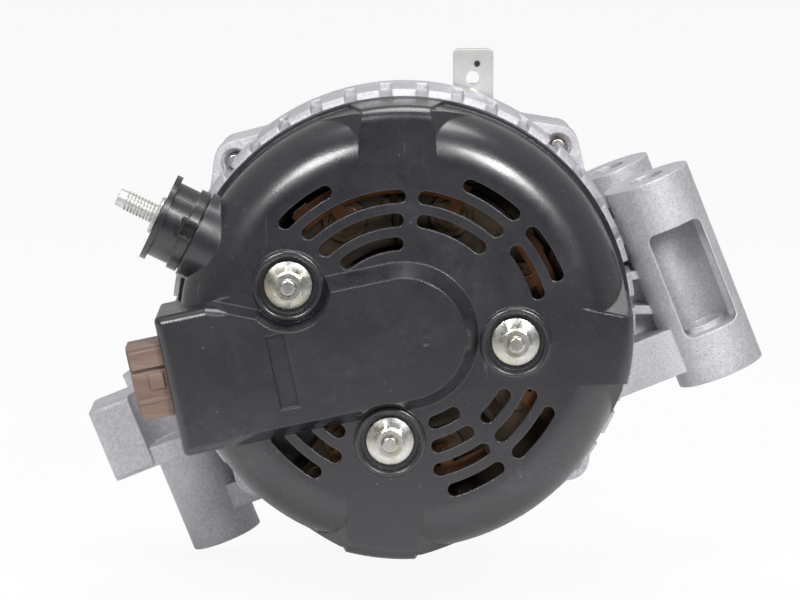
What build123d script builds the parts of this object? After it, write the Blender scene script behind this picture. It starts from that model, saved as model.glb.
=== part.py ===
from build123d import *
import os
from math import cos, pi, radians, sin, sqrt

# A car alternator with a plastic rear cover, six-groove pulley and bolt bosses
# that cross behind the belt.
# Frame: millimetres, X right, Z up, rotor axis on Y. The pulley is at +Y and the
# rear cover at -Y. The origin is on the rotor axis at the belt's centre plane.

# ---------------------------------------------------------------- shared fits
SEAT = 0.02  # radial clearance of a seated round fit
LOOSE = 0.3  # clearance beside a piece that is only located
RUN = 0.06  # radial running clearance of a rolling or sliding fit

# ------------------------------------------------------- stations along the axis
COVER_FACE_Y = -126.0  # flat face that carries the cover's vent slots
COVER_RIM_Y = -100.0
REAR_WALL_Y = -102.0  # back of the rear end frame
REAR_WALL = 4.0
REAR_FRONT_Y = -68.0  # front edge of the rear end frame
STATOR_REAR_Y = -83.0
STATOR_LENGTH = 34.0
DRIVE_REAR_Y = -62.0  # rear edge of the drive end frame
DRIVE_FRONT_Y = -18.0
DRIVE_WALL = 4.0

# --------------------------------------------------------------- rotor and pulley
PULLEY_WIDTH = 25.0
PULLEY_RADIUS = 28.5
PULLEY_RECESS_RADIUS = 17.0
PULLEY_WEB_FRONT_Y = 2.0
GROOVES = 6
GROOVE_PITCH = 3.56
GROOVE_DEPTH = 2.9
GROOVE_MOUTH = 3.1
GROOVE_FLOOR = 0.7
PULLEY_NUT_AF = 24.0
PULLEY_NUT_HEIGHT = 11.0
SHAFT_FRONT_RADIUS = 8.5
SHAFT_POLE_RADIUS = 10.0
SHAFT_REAR_RADIUS = 7.5
SHAFT_RING_RADIUS = 4.5
SHAFT_FRONT_Y = 15.0
SHAFT_REAR_Y = -123.0
ROTOR_RADIUS = 49.0
AIR_GAP = 0.45
CLAWS = 8
POLE_PLATE = 11.0
POLE_FRONT_Y = -44.0
POLE_REAR_Y = -88.0
POLE_CORE_RADIUS = 25.0
CLAW_ROOT_WIDTH = 20.0
CLAW_TIP_WIDTH = 7.5
CLAW_ROOT_THICKNESS = 8.5
CLAW_TIP_THICKNESS = 3.5
CLAW_TIP_GAP = 1.5
COIL_RADIUS = ROTOR_RADIUS - CLAW_ROOT_THICKNESS - 1
BOBBIN_FLANGE = 1.2
FAN_RADIUS = ROTOR_RADIUS - 2.5
FAN_PLATE = 1.2
FAN_BORE = 13.0
FAN_BLADE_FRONT = 5.2
FAN_BLADE_REAR = 6.2
FAN_BLADES_FRONT = 11
FAN_BLADES_REAR = 13
FAN_BLADE_SKEW = 38.0
FAN_BLADE_CIRCLE = FAN_RADIUS - 6.8
FAN_BLADE_LENGTH = 15.0

# ---------------------------------------------------------------------- bearings
FRONT_BEARING = dict(bore=8.5, outer=23.5, width=14.0, ball=4.3, pitch=16.0, balls=7, y=-28.0)
REAR_BEARING = dict(bore=7.5, outer=17.5, width=11.0, ball=2.95, pitch=12.5, balls=8, y=-102.0)
RACE_SHOULDER = 0.45  # shoulder's distance from the pitch circle, in ball radii
CAGE_HALF = 1.0
SEAL_THICKNESS = 0.8
SEAL_INSET = 0.3
SLEEVE_WALL = 1.2
RETAINER_THICKNESS = 2.4
RETAINER_RADIUS = 32.0
RETAINER_SCREW_CIRCLE = 28.0
RETAINER_SCREWS = 4
RETAINER_SCREW_RADIUS = 2.0
RETAINER_SCREW_LENGTH = 9.0

# ------------------------------------------------------------------------ stator
STATOR_SLOTS = 48
SLOT_DEPTH = 7.0
TOOTH_TIP = 1.55  # from the air gap to the slot's full width
CORE_BACK = 4.0
SLOT_INNER = ROTOR_RADIUS + AIR_GAP + TOOTH_TIP
SLOT_OUTER = SLOT_INNER + SLOT_DEPTH
STATOR_RADIUS = SLOT_OUTER + CORE_BACK
SLOT_WIDTH = 3.4
SLOT_MOUTH = 1.4
SLOT_LINER = 0.12
COIL_END_LENGTH = 8.5
COIL_END_NECK = 1.5

# -------------------------------------------------------------------- slip rings
SLIP_RING_RADIUS = 7.0
SLIP_RING_WIDTH = 4.8
SLIP_RING_WALL = 1.0
SLIP_RING_PITCH = 7.0
SLIP_RING_INNER_Y = -112.0
RING_CARRIER_FRONT_Y = -108.4
RING_CARRIER_REAR_Y = -122.4

# ------------------------------------------------------------------- frames, bolts
REAR_OUTER = STATOR_RADIUS + 5.4
REAR_SPIGOT = STATOR_RADIUS - 0.5
REAR_INNER = STATOR_RADIUS - 2.6
REAR_SHOULDER_Y = -97.0
REAR_GROOVES = 40
REAR_GROOVE = 3.6
REAR_GROOVE_DEPTH = 2.0
REAR_GROOVE_FRONT_Y = -75.0
REAR_GROOVE_FIRST = 4.5  # angle of the first groove
INLET_ANGLES = (5, 41, 77, 113, 229, 277, 313)
INLET_SPAN = 26.0
INLET_LENGTH = 20.0
DRIVE_OUTER = STATOR_RADIUS + 3.2
DRIVE_INNER = STATOR_RADIUS - 1.8
DRIVE_NOSE = STATOR_RADIUS - 8.0
DRIVE_SLOPE_Y = (-50.0, -32.0)  # where the outside starts to slope, and steepens
DRIVE_SHOULDER = DRIVE_OUTER - 2.8
DRIVE_THROAT_Y = -38.0  # the inside stays wide for the winding up to here
HUB_RADIUS = 30.0
HUB_FRONT_Y = -16.0
HUB_LIP_RADIUS = 11.5
DRIVE_WINDOWS = 12
DRIVE_WINDOW_HALF = 11.0  # degrees
DRIVE_SIDE_SLOTS = 30
DRIVE_SIDE_SLOT = 5.6
DRIVE_SIDE_SLOT_Y = (-45.0, -29.0)
BOLT_RADIUS = 2.5
BOLT_CIRCLE = STATOR_RADIUS + BOLT_RADIUS + 1.9
BOLT_ANGLES = (47.0, 138.5, -131.7, -42.6)
BOLT_HEAD_AF = 8.0
BOLT_HEAD = 5.0
BOLT_FLANGE_RADIUS = 5.0
BOLT_FLANGE = 1.3
BOLT_END_Y = -76.2
EAR_RADIUS = 6.2
EAR_FLANK = 56.0  # angle between a flank and the line to the rotor axis
EAR_REAR_Y = -77.0
EAR_RECESS_RADIUS = 4.0
EAR_RECESS = 2.0
EAR_STEP_RADIUS = 3.1
EAR_STEP = 0.8
DRIVE_EAR_RADIUS = 5.4
DRIVE_EAR_FRONT_Y = -46.0

# The bosses lie in a frame turned by MOUNT_TILT: its X is across the bolts and
# its Z runs along them.
MOUNT_TILT = 21.8
MOUNT_TOP = 10.7
NEAR_BOSS = dict(x=REAR_OUTER + 13.1, y=-81.0, radius=13.0, top=MOUNT_TOP, bottom=-50.8)
FAR_BOSS = dict(x=REAR_OUTER + 4.1, y=-28.0, radius=13.0, top=MOUNT_TOP, bottom=-50.8)
LEFT_BOSS = dict(x=-REAR_OUTER - 12.6, y=-28.0, radius=11.0, top=6.4, bottom=-52.2)
MOUNT_BORE = 5.25
WINDOW = dict(low=-36.8, high=-4.4, x=2.1, half=8.1, corner=2.2, cavity=8.4)
WINDOW_LIP_RADIUS = 6.8
WINDOW_LIP = 1.6
WEB = dict(low=-46.0, high=-32.4, rear=-90.0, front=-72.5)
WEB_BACK = 4.0  # thickness of the wall in front of the ribs
RIB_ANGLES = (1.0, 9.6)
RIB_THICKNESS = 2.6
RIB_REAR_Y = -85.0
UPPER_WEB_ANGLES = (17.5, 24.5)
UPPER_WEB_REAR_Y = -84.0
FAR_ARM_SPANS = ((-46.0, -34.0), (-12.0, MOUNT_TOP - 3))
LEFT_ARM_SPANS = ((-44.0, -36.0), (-10.0, 2.0))
ARM_HALF = 5.0  # half thickness of the wall between the arms
ARM_FRONT = 8.0  # the arms reach this far in front of the boss's axis
FOOT_LEFT = -REAR_OUTER - 29.4
FOOT_TOP = 8.0
FOOT_LEDGE = -8.6
FOOT_BOTTOM = -14.2
FOOT_INNER = -REAR_OUTER - 16.9
FOOT_REAR_Y = -91.0
FOOT_LEDGE_REAR_Y = -90.2
FOOT_FRONT_Y = -69.0
FOOT_FLOOR_Y = -80.0
FOOT_HOLLOW = 8.0  # radius between the block and the recess
FOOT_EDGE = 2.0
FOOT_HOLE_X = -REAR_OUTER - 23.2
FOOT_Y = (FOOT_REAR_Y + FOOT_FRONT_Y) / 2
FOOT_ROOT = -50.0
BUSH_OUTER = 5.2
BUSH_INNER = 4.1
BUSH_PROUD = 0.8
BUSH_TOP = 2.5
BRACKET_X = (14.7, 26.5)
BRACKET_THICKNESS = 1.6
BRACKET_REAR_Y = -64.5
BRACKET_BOTTOM = REAR_OUTER - 6.4
BRACKET_TOP = REAR_OUTER + 8.8
BRACKET_CORNER = 1.2
BRACKET_FLANGE = 4.0
BRACKET_FLANGE_BOTTOM = REAR_OUTER - 1.9
BRACKET_HOLE_AT = (20.4, REAR_OUTER + 0.3)
BRACKET_HOLE = 2.05
BRACKET_LUG_X = (16.0, 25.0)
BRACKET_LUG_FRONT_Y = -54.0
BRACKET_LUG_TOP = REAR_OUTER - 2.2
BRACKET_SCREW_Z = REAR_OUTER - 5.0
BRACKET_SCREW_RADIUS = 1.25
BRACKET_SCREW_LENGTH = 7.0
BRACKET_SCREW_HEAD_RADIUS = 2.2
BRACKET_SCREW_HEAD = 1.2

# -------------------------------------------------------------------- rear cover
COVER_WALL = 2.2
DOME_RADIUS = REAR_OUTER - 3.1
DOME_EDGE = 14.0  # radius of the dome's rounded edge
RIM_RADIUS = REAR_OUTER - 1.6
RIM_LIP = 1.6
LOBE_ANGLES = (92, -4, -96)
LOBE_BASE_RADIUS = 38.0
LOBE_BASE_HALF = 12.8
LOBE_TIP_HALF = 8.8
LOBE_EDGE = 4.0
LEAST_CORNER = 0.6  # smallest corner radius left inside the cover
LOBE_RADIUS = DOME_RADIUS + 1.1
LOBE_DRAFT = 9.0
LOBE_SKIRT_DROP = 1.5  # from the face to where the flank flares out to meet the dome
LOBE_SKIRT_DRAFT = 45.0
PLATEAU_HEIGHT = 6.5
PLATEAU_HALF = 21.2
PLATEAU_TAPER = 30.0
REG_TILT = 12.0  # the regulator lies along the tilted -X axis
SHROUD_END = 68.0
SHROUD_WAIST = 53.0  # where its sides turn in towards the plateau
SHROUD_START = 40.0
SHROUD_NECK_HALF = 16.5
SHROUD_HALF = 20.4
SHROUD_CORNER = 2.6
SHROUD_END_CORNER = 1.5
SHROUD_FRONT_Y = -104.5
MARK_WIDTH = 5.6
MARK_LENGTH = 21.5
MARK_DEPTH = 1.5
MARK_AT = (-35.4, -1.9)  # in the regulator's frame
GATE_AT = (6.2, -0.6)
GATE_RADIUS = 1.1
GATE_DEPTH = 0.5
VENT_WIDTH = 3.8
VENT_ROW = 26.4
VENT_PITCH = 6.75
# Each vent: row number from the middle, first angle, last angle.
VENTS = (
    (0, 94.5, 127.5), (1, 93.5, 132), (2, 92, 132.5), (3, 118.5, 136),
    (1, 50, 80.5), (2, 49, 81.5), (3, 48.5, 66.5), (2, 18, 37), (3, 22, 39),
    (1, -44.5, -31), (2, -46, -25.6), (3, -45.7, -28.5),
    (0, -70.5, -58), (1, -73, -57), (2, -75, -55.5), (3, -72, -55),
    (1, -129, -124), (2, -137, -119.5), (3, -140.5, -123),
)
STUD_PLACES = (
    (REAR_OUTER - 31.6, 156.5), (REAR_OUTER - 35.6, -3.6), (REAR_OUTER - 36.5, -97.4),
)  # radius, angle
STUD_RADIUS = 2.5
STUD_END_Y = -130.5
STUD_FRONT_Y = -97.2
NUT_AF = 8.0
NUT_HEIGHT = 5.0
NUT_FLANGE_RADIUS = 7.1
NUT_FLANGE = 1.2
NUT_WELL_RADIUS = 8.3
NUT_WELL_DEPTH = 2.4
NUT_LIP = 1.0  # radius of the half-round ridge round each well
NUT_CLEAR_RADIUS = 10.6
SPACER_RADIUS = 4.6

# ------------------------------------------------------------------- electronics
NEG_SINK_THICKNESS = 3.0
NEG_SINK_INNER = 24.0
NEG_SINK_OUTER = REAR_SPIGOT - 3.5
POS_SINK_THICKNESS = 3.0
POS_SINK_INNER = 24.5
POS_SINK_OUTER = NEG_SINK_OUTER - 14.0
POS_SINK_FIN = 3.2
POS_FIN_SPAN = 2.6  # degrees
POS_FIN_ANGLES = (-100, -52, -46, -3, 3, 45, 90, 96, 140)
BLOCK_THICKNESS = 7.0
BLOCK_INNER = 25.0
BLOCK_OUTER = POS_SINK_OUTER + 2.5
SINK_ANGLES = (-128.0, 152.0)
DIODE_RADIUS = 6.2
DIODE_HEIGHT = 5.6
DIODE_CAP_RADIUS = 4.3
DIODE_LEAD_RADIUS = 0.7
POS_DIODE_CIRCLE = POS_SINK_OUTER - 8.0
DIODE_ANGLES = (-118, -72, -28, 22, 68, 118)
NEG_DIODE_CIRCLE = NEG_SINK_OUTER - 6.8
POST_ANGLES = (9, 15)  # each post's ends after its diode
BUS_THICKNESS = 1.0
BUS_GAP = 3.6  # from the positive heat sink to the bars
BUS_INNER = POS_SINK_OUTER - 4.0
BUS_OUTER = POS_SINK_OUTER + 2.0
RECTIFIER_SCREW_CIRCLE = NEG_SINK_OUTER - 4.0
RECTIFIER_SCREW_ANGLES = (-98, 46, 138)
RECTIFIER_SCREW_RADIUS = 2.0
REG_BODY = (-58.5, -32.0)  # span along the regulator's own X
REG_HALF = 15.5
REG_BACK_Y = -128.5
REG_FRONT_Y = -116.0
REG_SINK_FRONT_Y = -108.0
REG_FIN_PITCH = 4.4
REG_FIN = 1.6
BRUSH_WIDTH_Y = 4.5
BRUSH_HEIGHT_Z = 6.4
BRUSH_LENGTH = 13.0
BRUSH_GUIDE = 0.12
SPRING_LENGTH = 9.0
SPRING_RADIUS = 1.7
SPRING_WIRE = 0.25
SPRING_TURNS = 7
HOLDER_START = -9.6
HOLDER_HALF = 5.6
HOLDER_REAR_Y = -124.0
RING_COVER_RADIUS = 11.6
RING_COVER_INNER = 9.2
RING_COVER_CAP = 1.4
CONNECTOR_SPAN = (-78.0, -59.5)
CONNECTOR_CENTRE = (-121.0, 2.3)  # Y, and Z in the regulator's frame
CONNECTOR_SIZE = (14.0, 21.8)
CONNECTOR_EDGE = 2.2
CONNECTOR_CHAMFER = 3.0  # on the lower left corner
# Raised bands on its rear face: low and high from its middle, and how proud.
CONNECTOR_BANDS = ((9.2, 10.6, 0.5), (4.2, 9.2, 1.0), (-5.9, -4.8, 0.9), (-10.6, -5.9, 0.4))
CONNECTOR_SLOT = (3.0, 4.2, 0.7)  # low, high and depth of the slot between bands
CONNECTOR_WALL = 1.5
CONNECTOR_DEPTH = 15.0
CONNECTOR_LATCH = dict(x=(5.0, 9.0), half=2.2, proud=0.9)
CONNECTOR_COLLAR = 3.5
CONNECTOR_COLLAR_PROUD = 0.9
PIN_SIZE = (0.8, 1.8)
PIN_LENGTH = 9.0
PIN_PITCH = 4.6
PINS = 4

# --------------------------------------------------------------------- B terminal
BPLUS_TILT = -26.0  # the terminal points along the tilted -X axis
BPLUS_Z = -1.7
BPLUS_Y = -110.6
BPLUS_DISC_X = -77.3
BPLUS_DISC_RADIUS = 12.95
BPLUS_DISC = 1.8
BPLUS_BODY_RADIUS = 11.3
BPLUS_BODY_END = -62.0
BPLUS_BAND = (-69.2, -66.2)
BPLUS_BAND_RADIUS = 12.3
BPLUS_NECK = (-65.8, -58.0, -50.0)  # end, middle and root of the cover's neck
BPLUS_NECK_RADII = (12.9, 13.1, 13.6)
BPLUS_BORE_END = -56.0
BPLUS_LATCH = dict(x=(-70.8, -66.2), z=(-1.6, 4.4), proud=0.8, wall=0.9)
BPLUS_ROOM_Y = -100.5  # the terminal's pieces stop here, short of the rear frame
BPLUS_STUD_RADIUS = 3.0
BPLUS_STUD_CHAMFER = 0.8
BPLUS_SHANK_RADIUS = 4.0  # inside the insulator
BPLUS_ROOT_RADIUS = 5.2
BPLUS_ROOT_LENGTH = 7.0
BPLUS_STUD_TIP = -90.1
BPLUS_STUD_ROOT = -50.0
BPLUS_PAD_END = -38.0
BPLUS_PAD_HALF = 6.0
BPLUS_PAD_FRONT = 3.5  # in front of the stud's axis
BPLUS_ARM_START = -46.0
BPLUS_ARM = 9.0  # the pad's arm reaches this far up to the heat sink's end


# =================================================================== small helpers
def turned_to(angle):
    """A turn about the rotor axis that carries +X to this angle towards +Z."""
    return Rot(0, -angle, 0)


def at(radius, angle, y):
    """A place given by its radius and angle about the rotor axis."""
    return Pos(radius * cos(radians(angle)), y, radius * sin(radians(angle)))


def rod(radius, y0, y1):
    """A cylinder on the rotor axis from y0 to y1."""
    return Pos(0, (y0 + y1) / 2, 0) * Rot(90, 0, 0) * Cylinder(radius, abs(y1 - y0))


def ring(outer, inner, y0, y1):
    """A plain ring about the rotor axis."""
    low, high = sorted((y0, y1))
    return rod(outer, low, high) - rod(inner, low - 1, high + 1)


def turned(points):
    """A solid turned about the rotor axis from (radius, y) points."""
    return revolve(make_face(Polyline(*points, close=True)), Axis.Y)


def box(x, y, z):
    """A box from its spans along X, Y and Z."""
    size = [abs(b - a) for a, b in (x, y, z)]
    middle = [(a + b) / 2 for a, b in (x, y, z)]
    return Pos(*middle) * Box(*size)


def behind(y):
    """A sketch plane square to the rotor axis, seen from the rear."""
    return Plane(origin=(0, y, 0), x_dir=(1, 0, 0), z_dir=(0, -1, 0))


def slab(sketch, front, rear, taper=0.0):
    """A sketch in X and Z extruded from y=front back to y=rear."""
    return extrude(behind(front) * sketch, front - rear, taper=taper)


def hex_prism(flats, y0, y1):
    """A hexagonal prism on the rotor axis."""
    low, high = sorted((y0, y1))
    return slab(RegularPolygon(flats / sqrt(3), 6), high, low)


def sector(outer, inner, y0, y1, first, last):
    """A part of a ring between two angles."""
    low, high = sorted((y0, y1))
    span = last - first
    section = Pos((outer + inner) / 2, (low + high) / 2) * Rectangle(outer - inner, high - low)
    return turned_to(first) * revolve(section, Axis.Y, -span)


def vent(radius, width, first, last, front, rear):
    """A curved slot with round ends, centred on the rotor axis."""
    body = sector(radius + width / 2, radius - width / 2, rear, front, first, last)
    for angle in (first, last):
        body += at(radius, angle, 0) * rod(width / 2, rear, front)
    return body


def around(piece, count, first=0.0):
    """Copies of a piece evenly round the rotor axis."""
    return [turned_to(first + 360 * n / count) * piece for n in range(count)]


def circled(circle, angle):
    """A place at this radius and angle, with y as built."""
    return at(circle, angle, 0)


def united(pieces):
    """The union of a list of solids."""
    pieces = list(pieces)
    return pieces[0].fuse(*pieces[1:]) if len(pieces) > 1 else pieces[0]


# ======================================================================== bearings
def span_of(size):
    """A bearing's rear and front faces."""
    half = size["width"] / 2
    return size["y"] - half, size["y"] + half


def bearing(size):
    """The outer race, inner race, seals, balls and cage of a deep groove bearing."""
    ball, pitch, middle = size["ball"], size["pitch"], size["y"]
    low, high = span_of(size)
    groove = Pos(0, middle, 0) * Rot(90, 0, 0) * Torus(pitch, ball + RUN / 2)
    shoulder = RACE_SHOULDER * ball
    outer_race = ring(size["outer"], pitch + shoulder, low, high) - groove
    inner_race = ring(pitch - shoulder, size["bore"] + SEAT, low, high) - groove
    seal_outer, seal_inner = pitch + shoulder - SEAT, pitch - shoulder + LOOSE
    seals = [
        ring(seal_outer, seal_inner, end, end + side * SEAL_THICKNESS)
        for end, side in ((low + SEAL_INSET, 1), (high - SEAL_INSET, -1))
    ]
    places = [at(pitch, 360 * n / size["balls"], middle) for n in range(size["balls"])]
    balls = [place * Sphere(ball) for place in places]
    cage_reach = ball + 0.2 * ball
    cage = ring(pitch + CAGE_HALF, pitch - CAGE_HALF, middle - cage_reach, middle + cage_reach)
    pocket = axis_x(ball + RUN, pitch - 2 * CAGE_HALF, pitch + 2 * CAGE_HALF)
    cage -= Pos(0, middle, 0) * united(around(pocket, size["balls"]))
    return dict(outer_race=outer_race, inner_race=inner_race, seals=seals, balls=balls, cage=cage)


# =========================================================================== rotor
def rotor_shaft():
    front, rear = FRONT_BEARING, REAR_BEARING
    neck = front["y"] - front["width"] / 2
    seat = rear["y"] + rear["width"] / 2
    end = rear["y"] - rear["width"] / 2
    return turned([
        (0, SHAFT_REAR_Y), (SHAFT_RING_RADIUS, SHAFT_REAR_Y), (SHAFT_RING_RADIUS, end),
        (SHAFT_REAR_RADIUS, end), (SHAFT_REAR_RADIUS, seat), (SHAFT_POLE_RADIUS, seat),
        (SHAFT_POLE_RADIUS, POLE_FRONT_Y), (SHAFT_FRONT_RADIUS, POLE_FRONT_Y),
        (SHAFT_FRONT_RADIUS, neck), (SHAFT_FRONT_RADIUS, SHAFT_FRONT_Y - 1.2),
        (SHAFT_FRONT_RADIUS - 1.2, SHAFT_FRONT_Y), (0, SHAFT_FRONT_Y),
    ])


def claw_pole():
    """One pole piece with its plate at y=0 and its claws towards -Y."""
    length = POLE_FRONT_Y - POLE_REAR_Y
    claw_length = length - CLAW_TIP_GAP
    hub_length = length / 2
    hub = ring(POLE_CORE_RADIUS, SHAFT_POLE_RADIUS + SEAT, -hub_length, 0)
    plate_radius = ROTOR_RADIUS - CLAW_ROOT_THICKNESS
    plate = ring(plate_radius, SHAFT_POLE_RADIUS + SEAT, -POLE_PLATE, 0)
    gap_half = pi * ROTOR_RADIUS / CLAWS / 2 - 1.0
    gap_floor = POLE_CORE_RADIUS + 5.0
    gap = box((gap_floor, plate_radius + 2), (-POLE_PLATE - 1, 1), (-gap_half, gap_half))
    plate -= united(around(gap, CLAWS, 180 / CLAWS))
    half_root, half_tip = CLAW_ROOT_WIDTH / 2, CLAW_TIP_WIDTH / 2
    outline = make_face(Polyline(
        (0, -half_root), (0, half_root), (-POLE_PLATE, half_root),
        (-claw_length, half_tip), (-claw_length, -half_tip), (-POLE_PLATE, -half_root),
        close=True,
    ))
    tangent = Plane(origin=(0, 0, 0), x_dir=(0, 1, 0), z_dir=(1, 0, 0))
    finger = extrude(tangent * outline, ROTOR_RADIUS + 5)
    inner_root = ROTOR_RADIUS - CLAW_ROOT_THICKNESS
    shell = turned([
        (POLE_CORE_RADIUS + 2, 0), (ROTOR_RADIUS - 1, 0), (ROTOR_RADIUS, -1),
        (ROTOR_RADIUS, -claw_length + 1), (ROTOR_RADIUS - 1, -claw_length),
        (ROTOR_RADIUS - CLAW_TIP_THICKNESS, -claw_length), (inner_root, -POLE_PLATE),
        (POLE_CORE_RADIUS + 2, -POLE_PLATE),
    ])
    return united([hub, plate] + around(finger & shell, CLAWS))


def coil_and_bobbin():
    """The spool between the pole plates, and the winding on it."""
    front = POLE_FRONT_Y - POLE_PLATE - LOOSE
    rear = POLE_REAR_Y + POLE_PLATE + LOOSE
    bore = POLE_CORE_RADIUS + LOOSE / 2
    barrel = bore + BOBBIN_FLANGE
    bobbin = turned([
        (bore, rear), (COIL_RADIUS, rear), (COIL_RADIUS, rear + BOBBIN_FLANGE),
        (barrel, rear + BOBBIN_FLANGE), (barrel, front - BOBBIN_FLANGE),
        (COIL_RADIUS, front - BOBBIN_FLANGE), (COIL_RADIUS, front), (bore, front),
    ])
    coil = ring(COIL_RADIUS - 1, barrel + SEAT, rear + BOBBIN_FLANGE, front - BOBBIN_FLANGE)
    return coil, bobbin


def fan(blades, height, seat_y, side):
    """A fan plate on a pole's end with skewed blades that stand out along side."""
    face = seat_y + side * FAN_PLATE
    tip = face + side * height
    plate = ring(FAN_RADIUS, FAN_BORE, seat_y, face)
    bite = Pos(FAN_RADIUS + 4, 0) * Circle(10.5)
    low, high = sorted((seat_y, face))
    plate -= united(around(slab(bite, high + 1, low - 1), blades, 180 / blades))
    low, high = sorted((face - side * 0.4, tip))
    blade = slab(Rectangle(FAN_BLADE_LENGTH, FAN_PLATE), high, low)
    blade = Pos(FAN_BLADE_CIRCLE, 0, 0) * Rot(0, -FAN_BLADE_SKEW, 0) * blade
    return united([plate] + around(blade & rod(FAN_RADIUS, low, high), blades))


def pulley():
    """The grooved pulley, open at the front for its nut."""
    half = PULLEY_WIDTH / 2
    hub = SHAFT_FRONT_RADIUS + SEAT
    body = turned([
        (hub, -half), (PULLEY_RADIUS - 7, -half), (PULLEY_RADIUS, -half + 1.5),
        (PULLEY_RADIUS, half - 0.8), (PULLEY_RADIUS - 0.8, half), (PULLEY_RECESS_RADIUS, half),
        (PULLEY_RECESS_RADIUS, PULLEY_WEB_FRONT_Y), (hub, PULLEY_WEB_FRONT_Y),
    ])
    cuts = []
    for n in range(GROOVES):
        y = (n - (GROOVES - 1) / 2) * GROOVE_PITCH
        floor, mouth = PULLEY_RADIUS - GROOVE_DEPTH, PULLEY_RADIUS + 0.5
        cuts.append(turned([
            (mouth, y - GROOVE_MOUTH / 2), (floor, y - GROOVE_FLOOR / 2),
            (floor, y + GROOVE_FLOOR / 2), (mouth, y + GROOVE_MOUTH / 2),
        ]))
    return body - united(cuts)


def slip_rings():
    """The insulating carrier and the two rings on it."""
    seat = SLIP_RING_RADIUS - SLIP_RING_WALL
    carrier = ring(seat - SEAT, SHAFT_RING_RADIUS + SEAT, RING_CARRIER_REAR_Y, RING_CARRIER_FRONT_Y)
    rings = []
    for n in range(2):
        y = SLIP_RING_INNER_Y - n * SLIP_RING_PITCH
        rings.append(ring(SLIP_RING_RADIUS, seat, y - SLIP_RING_WIDTH / 2, y + SLIP_RING_WIDTH / 2))
    middle = SLIP_RING_INNER_Y - SLIP_RING_PITCH / 2
    gap = (SLIP_RING_PITCH - SLIP_RING_WIDTH) / 2
    carrier += ring(SLIP_RING_RADIUS - 0.3, SHAFT_RING_RADIUS + SEAT, middle - gap, middle + gap)
    return carrier, rings


# ========================================================================== stator
def stator():
    """The slotted core, and the winding whose bars fill its slots."""
    rear, front = STATOR_REAR_Y, STATOR_REAR_Y + STATOR_LENGTH
    core = ring(STATOR_RADIUS, ROTOR_RADIUS + AIR_GAP, rear, front)
    half, mouth = SLOT_WIDTH / 2, SLOT_MOUTH / 2
    slot = box((SLOT_INNER, SLOT_OUTER), (rear - 1, front + 1), (-half, half))
    slot += box((ROTOR_RADIUS - 1, SLOT_INNER + 0.5), (rear - 1, front + 1), (-mouth, mouth))
    core -= united(around(slot, STATOR_SLOTS))
    bar_half = half - SLOT_LINER
    ends = (rear - COIL_END_NECK - COIL_END_LENGTH, front + COIL_END_NECK + COIL_END_LENGTH)
    inner, outer = SLOT_INNER + SLOT_LINER, SLOT_OUTER - SLOT_LINER
    bar = box((inner, outer), (ends[0] + 1, ends[1] - 1), (-bar_half, bar_half))
    rings = [
        ring(outer + 0.6, inner - 0.4, ends[0], rear - COIL_END_NECK),
        ring(outer + 0.6, inner - 0.4, front + COIL_END_NECK, ends[1]),
    ]
    notch_half = pi * SLOT_OUTER / STATOR_SLOTS - half
    notch = united([
        box((inner - 2, outer + 2), (ends[0] - 1, ends[0] + 3), (-notch_half, notch_half)),
        box((inner - 2, outer + 2), (ends[1] - 3, ends[1] + 1), (-notch_half, notch_half)),
    ])
    winding = united(rings + around(bar, STATOR_SLOTS))
    winding -= united(around(notch, STATOR_SLOTS, 180 / STATOR_SLOTS))
    return core, winding


# ========================================================================== frames
def mount_frame(piece):
    """Turns a piece built square to the mounting bolts into place."""
    return turned_to(MOUNT_TILT) * piece


def boss(size, grow=0.0):
    """A solid round boss along the mounting bolts."""
    length = size["top"] - size["bottom"]
    middle = (size["top"] + size["bottom"]) / 2
    return Pos(size["x"], size["y"], middle) * Cylinder(size["radius"] + grow, length)


def bore(size, radius=MOUNT_BORE):
    """The bolt hole through a boss."""
    length = size["top"] - size["bottom"]
    middle = (size["top"] + size["bottom"]) / 2
    return Pos(size["x"], size["y"], middle) * Cylinder(radius, length + 2)


def ear(radius, rear, front):
    """A lug for one through bolt, with flanks that leave its circle for the frame's wall."""
    lean = radians(EAR_FLANK)
    x, z = BOLT_CIRCLE + radius * sin(lean), radius * cos(lean)
    foot = z + (x - STATOR_RADIUS) * sin(lean) / cos(lean)
    flank = Polygon((STATOR_RADIUS, -foot), (x, -z), (x, z), (STATOR_RADIUS, foot), align=None)
    return slab(flank + Pos(BOLT_CIRCLE, 0) * Circle(radius), front, rear)


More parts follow.
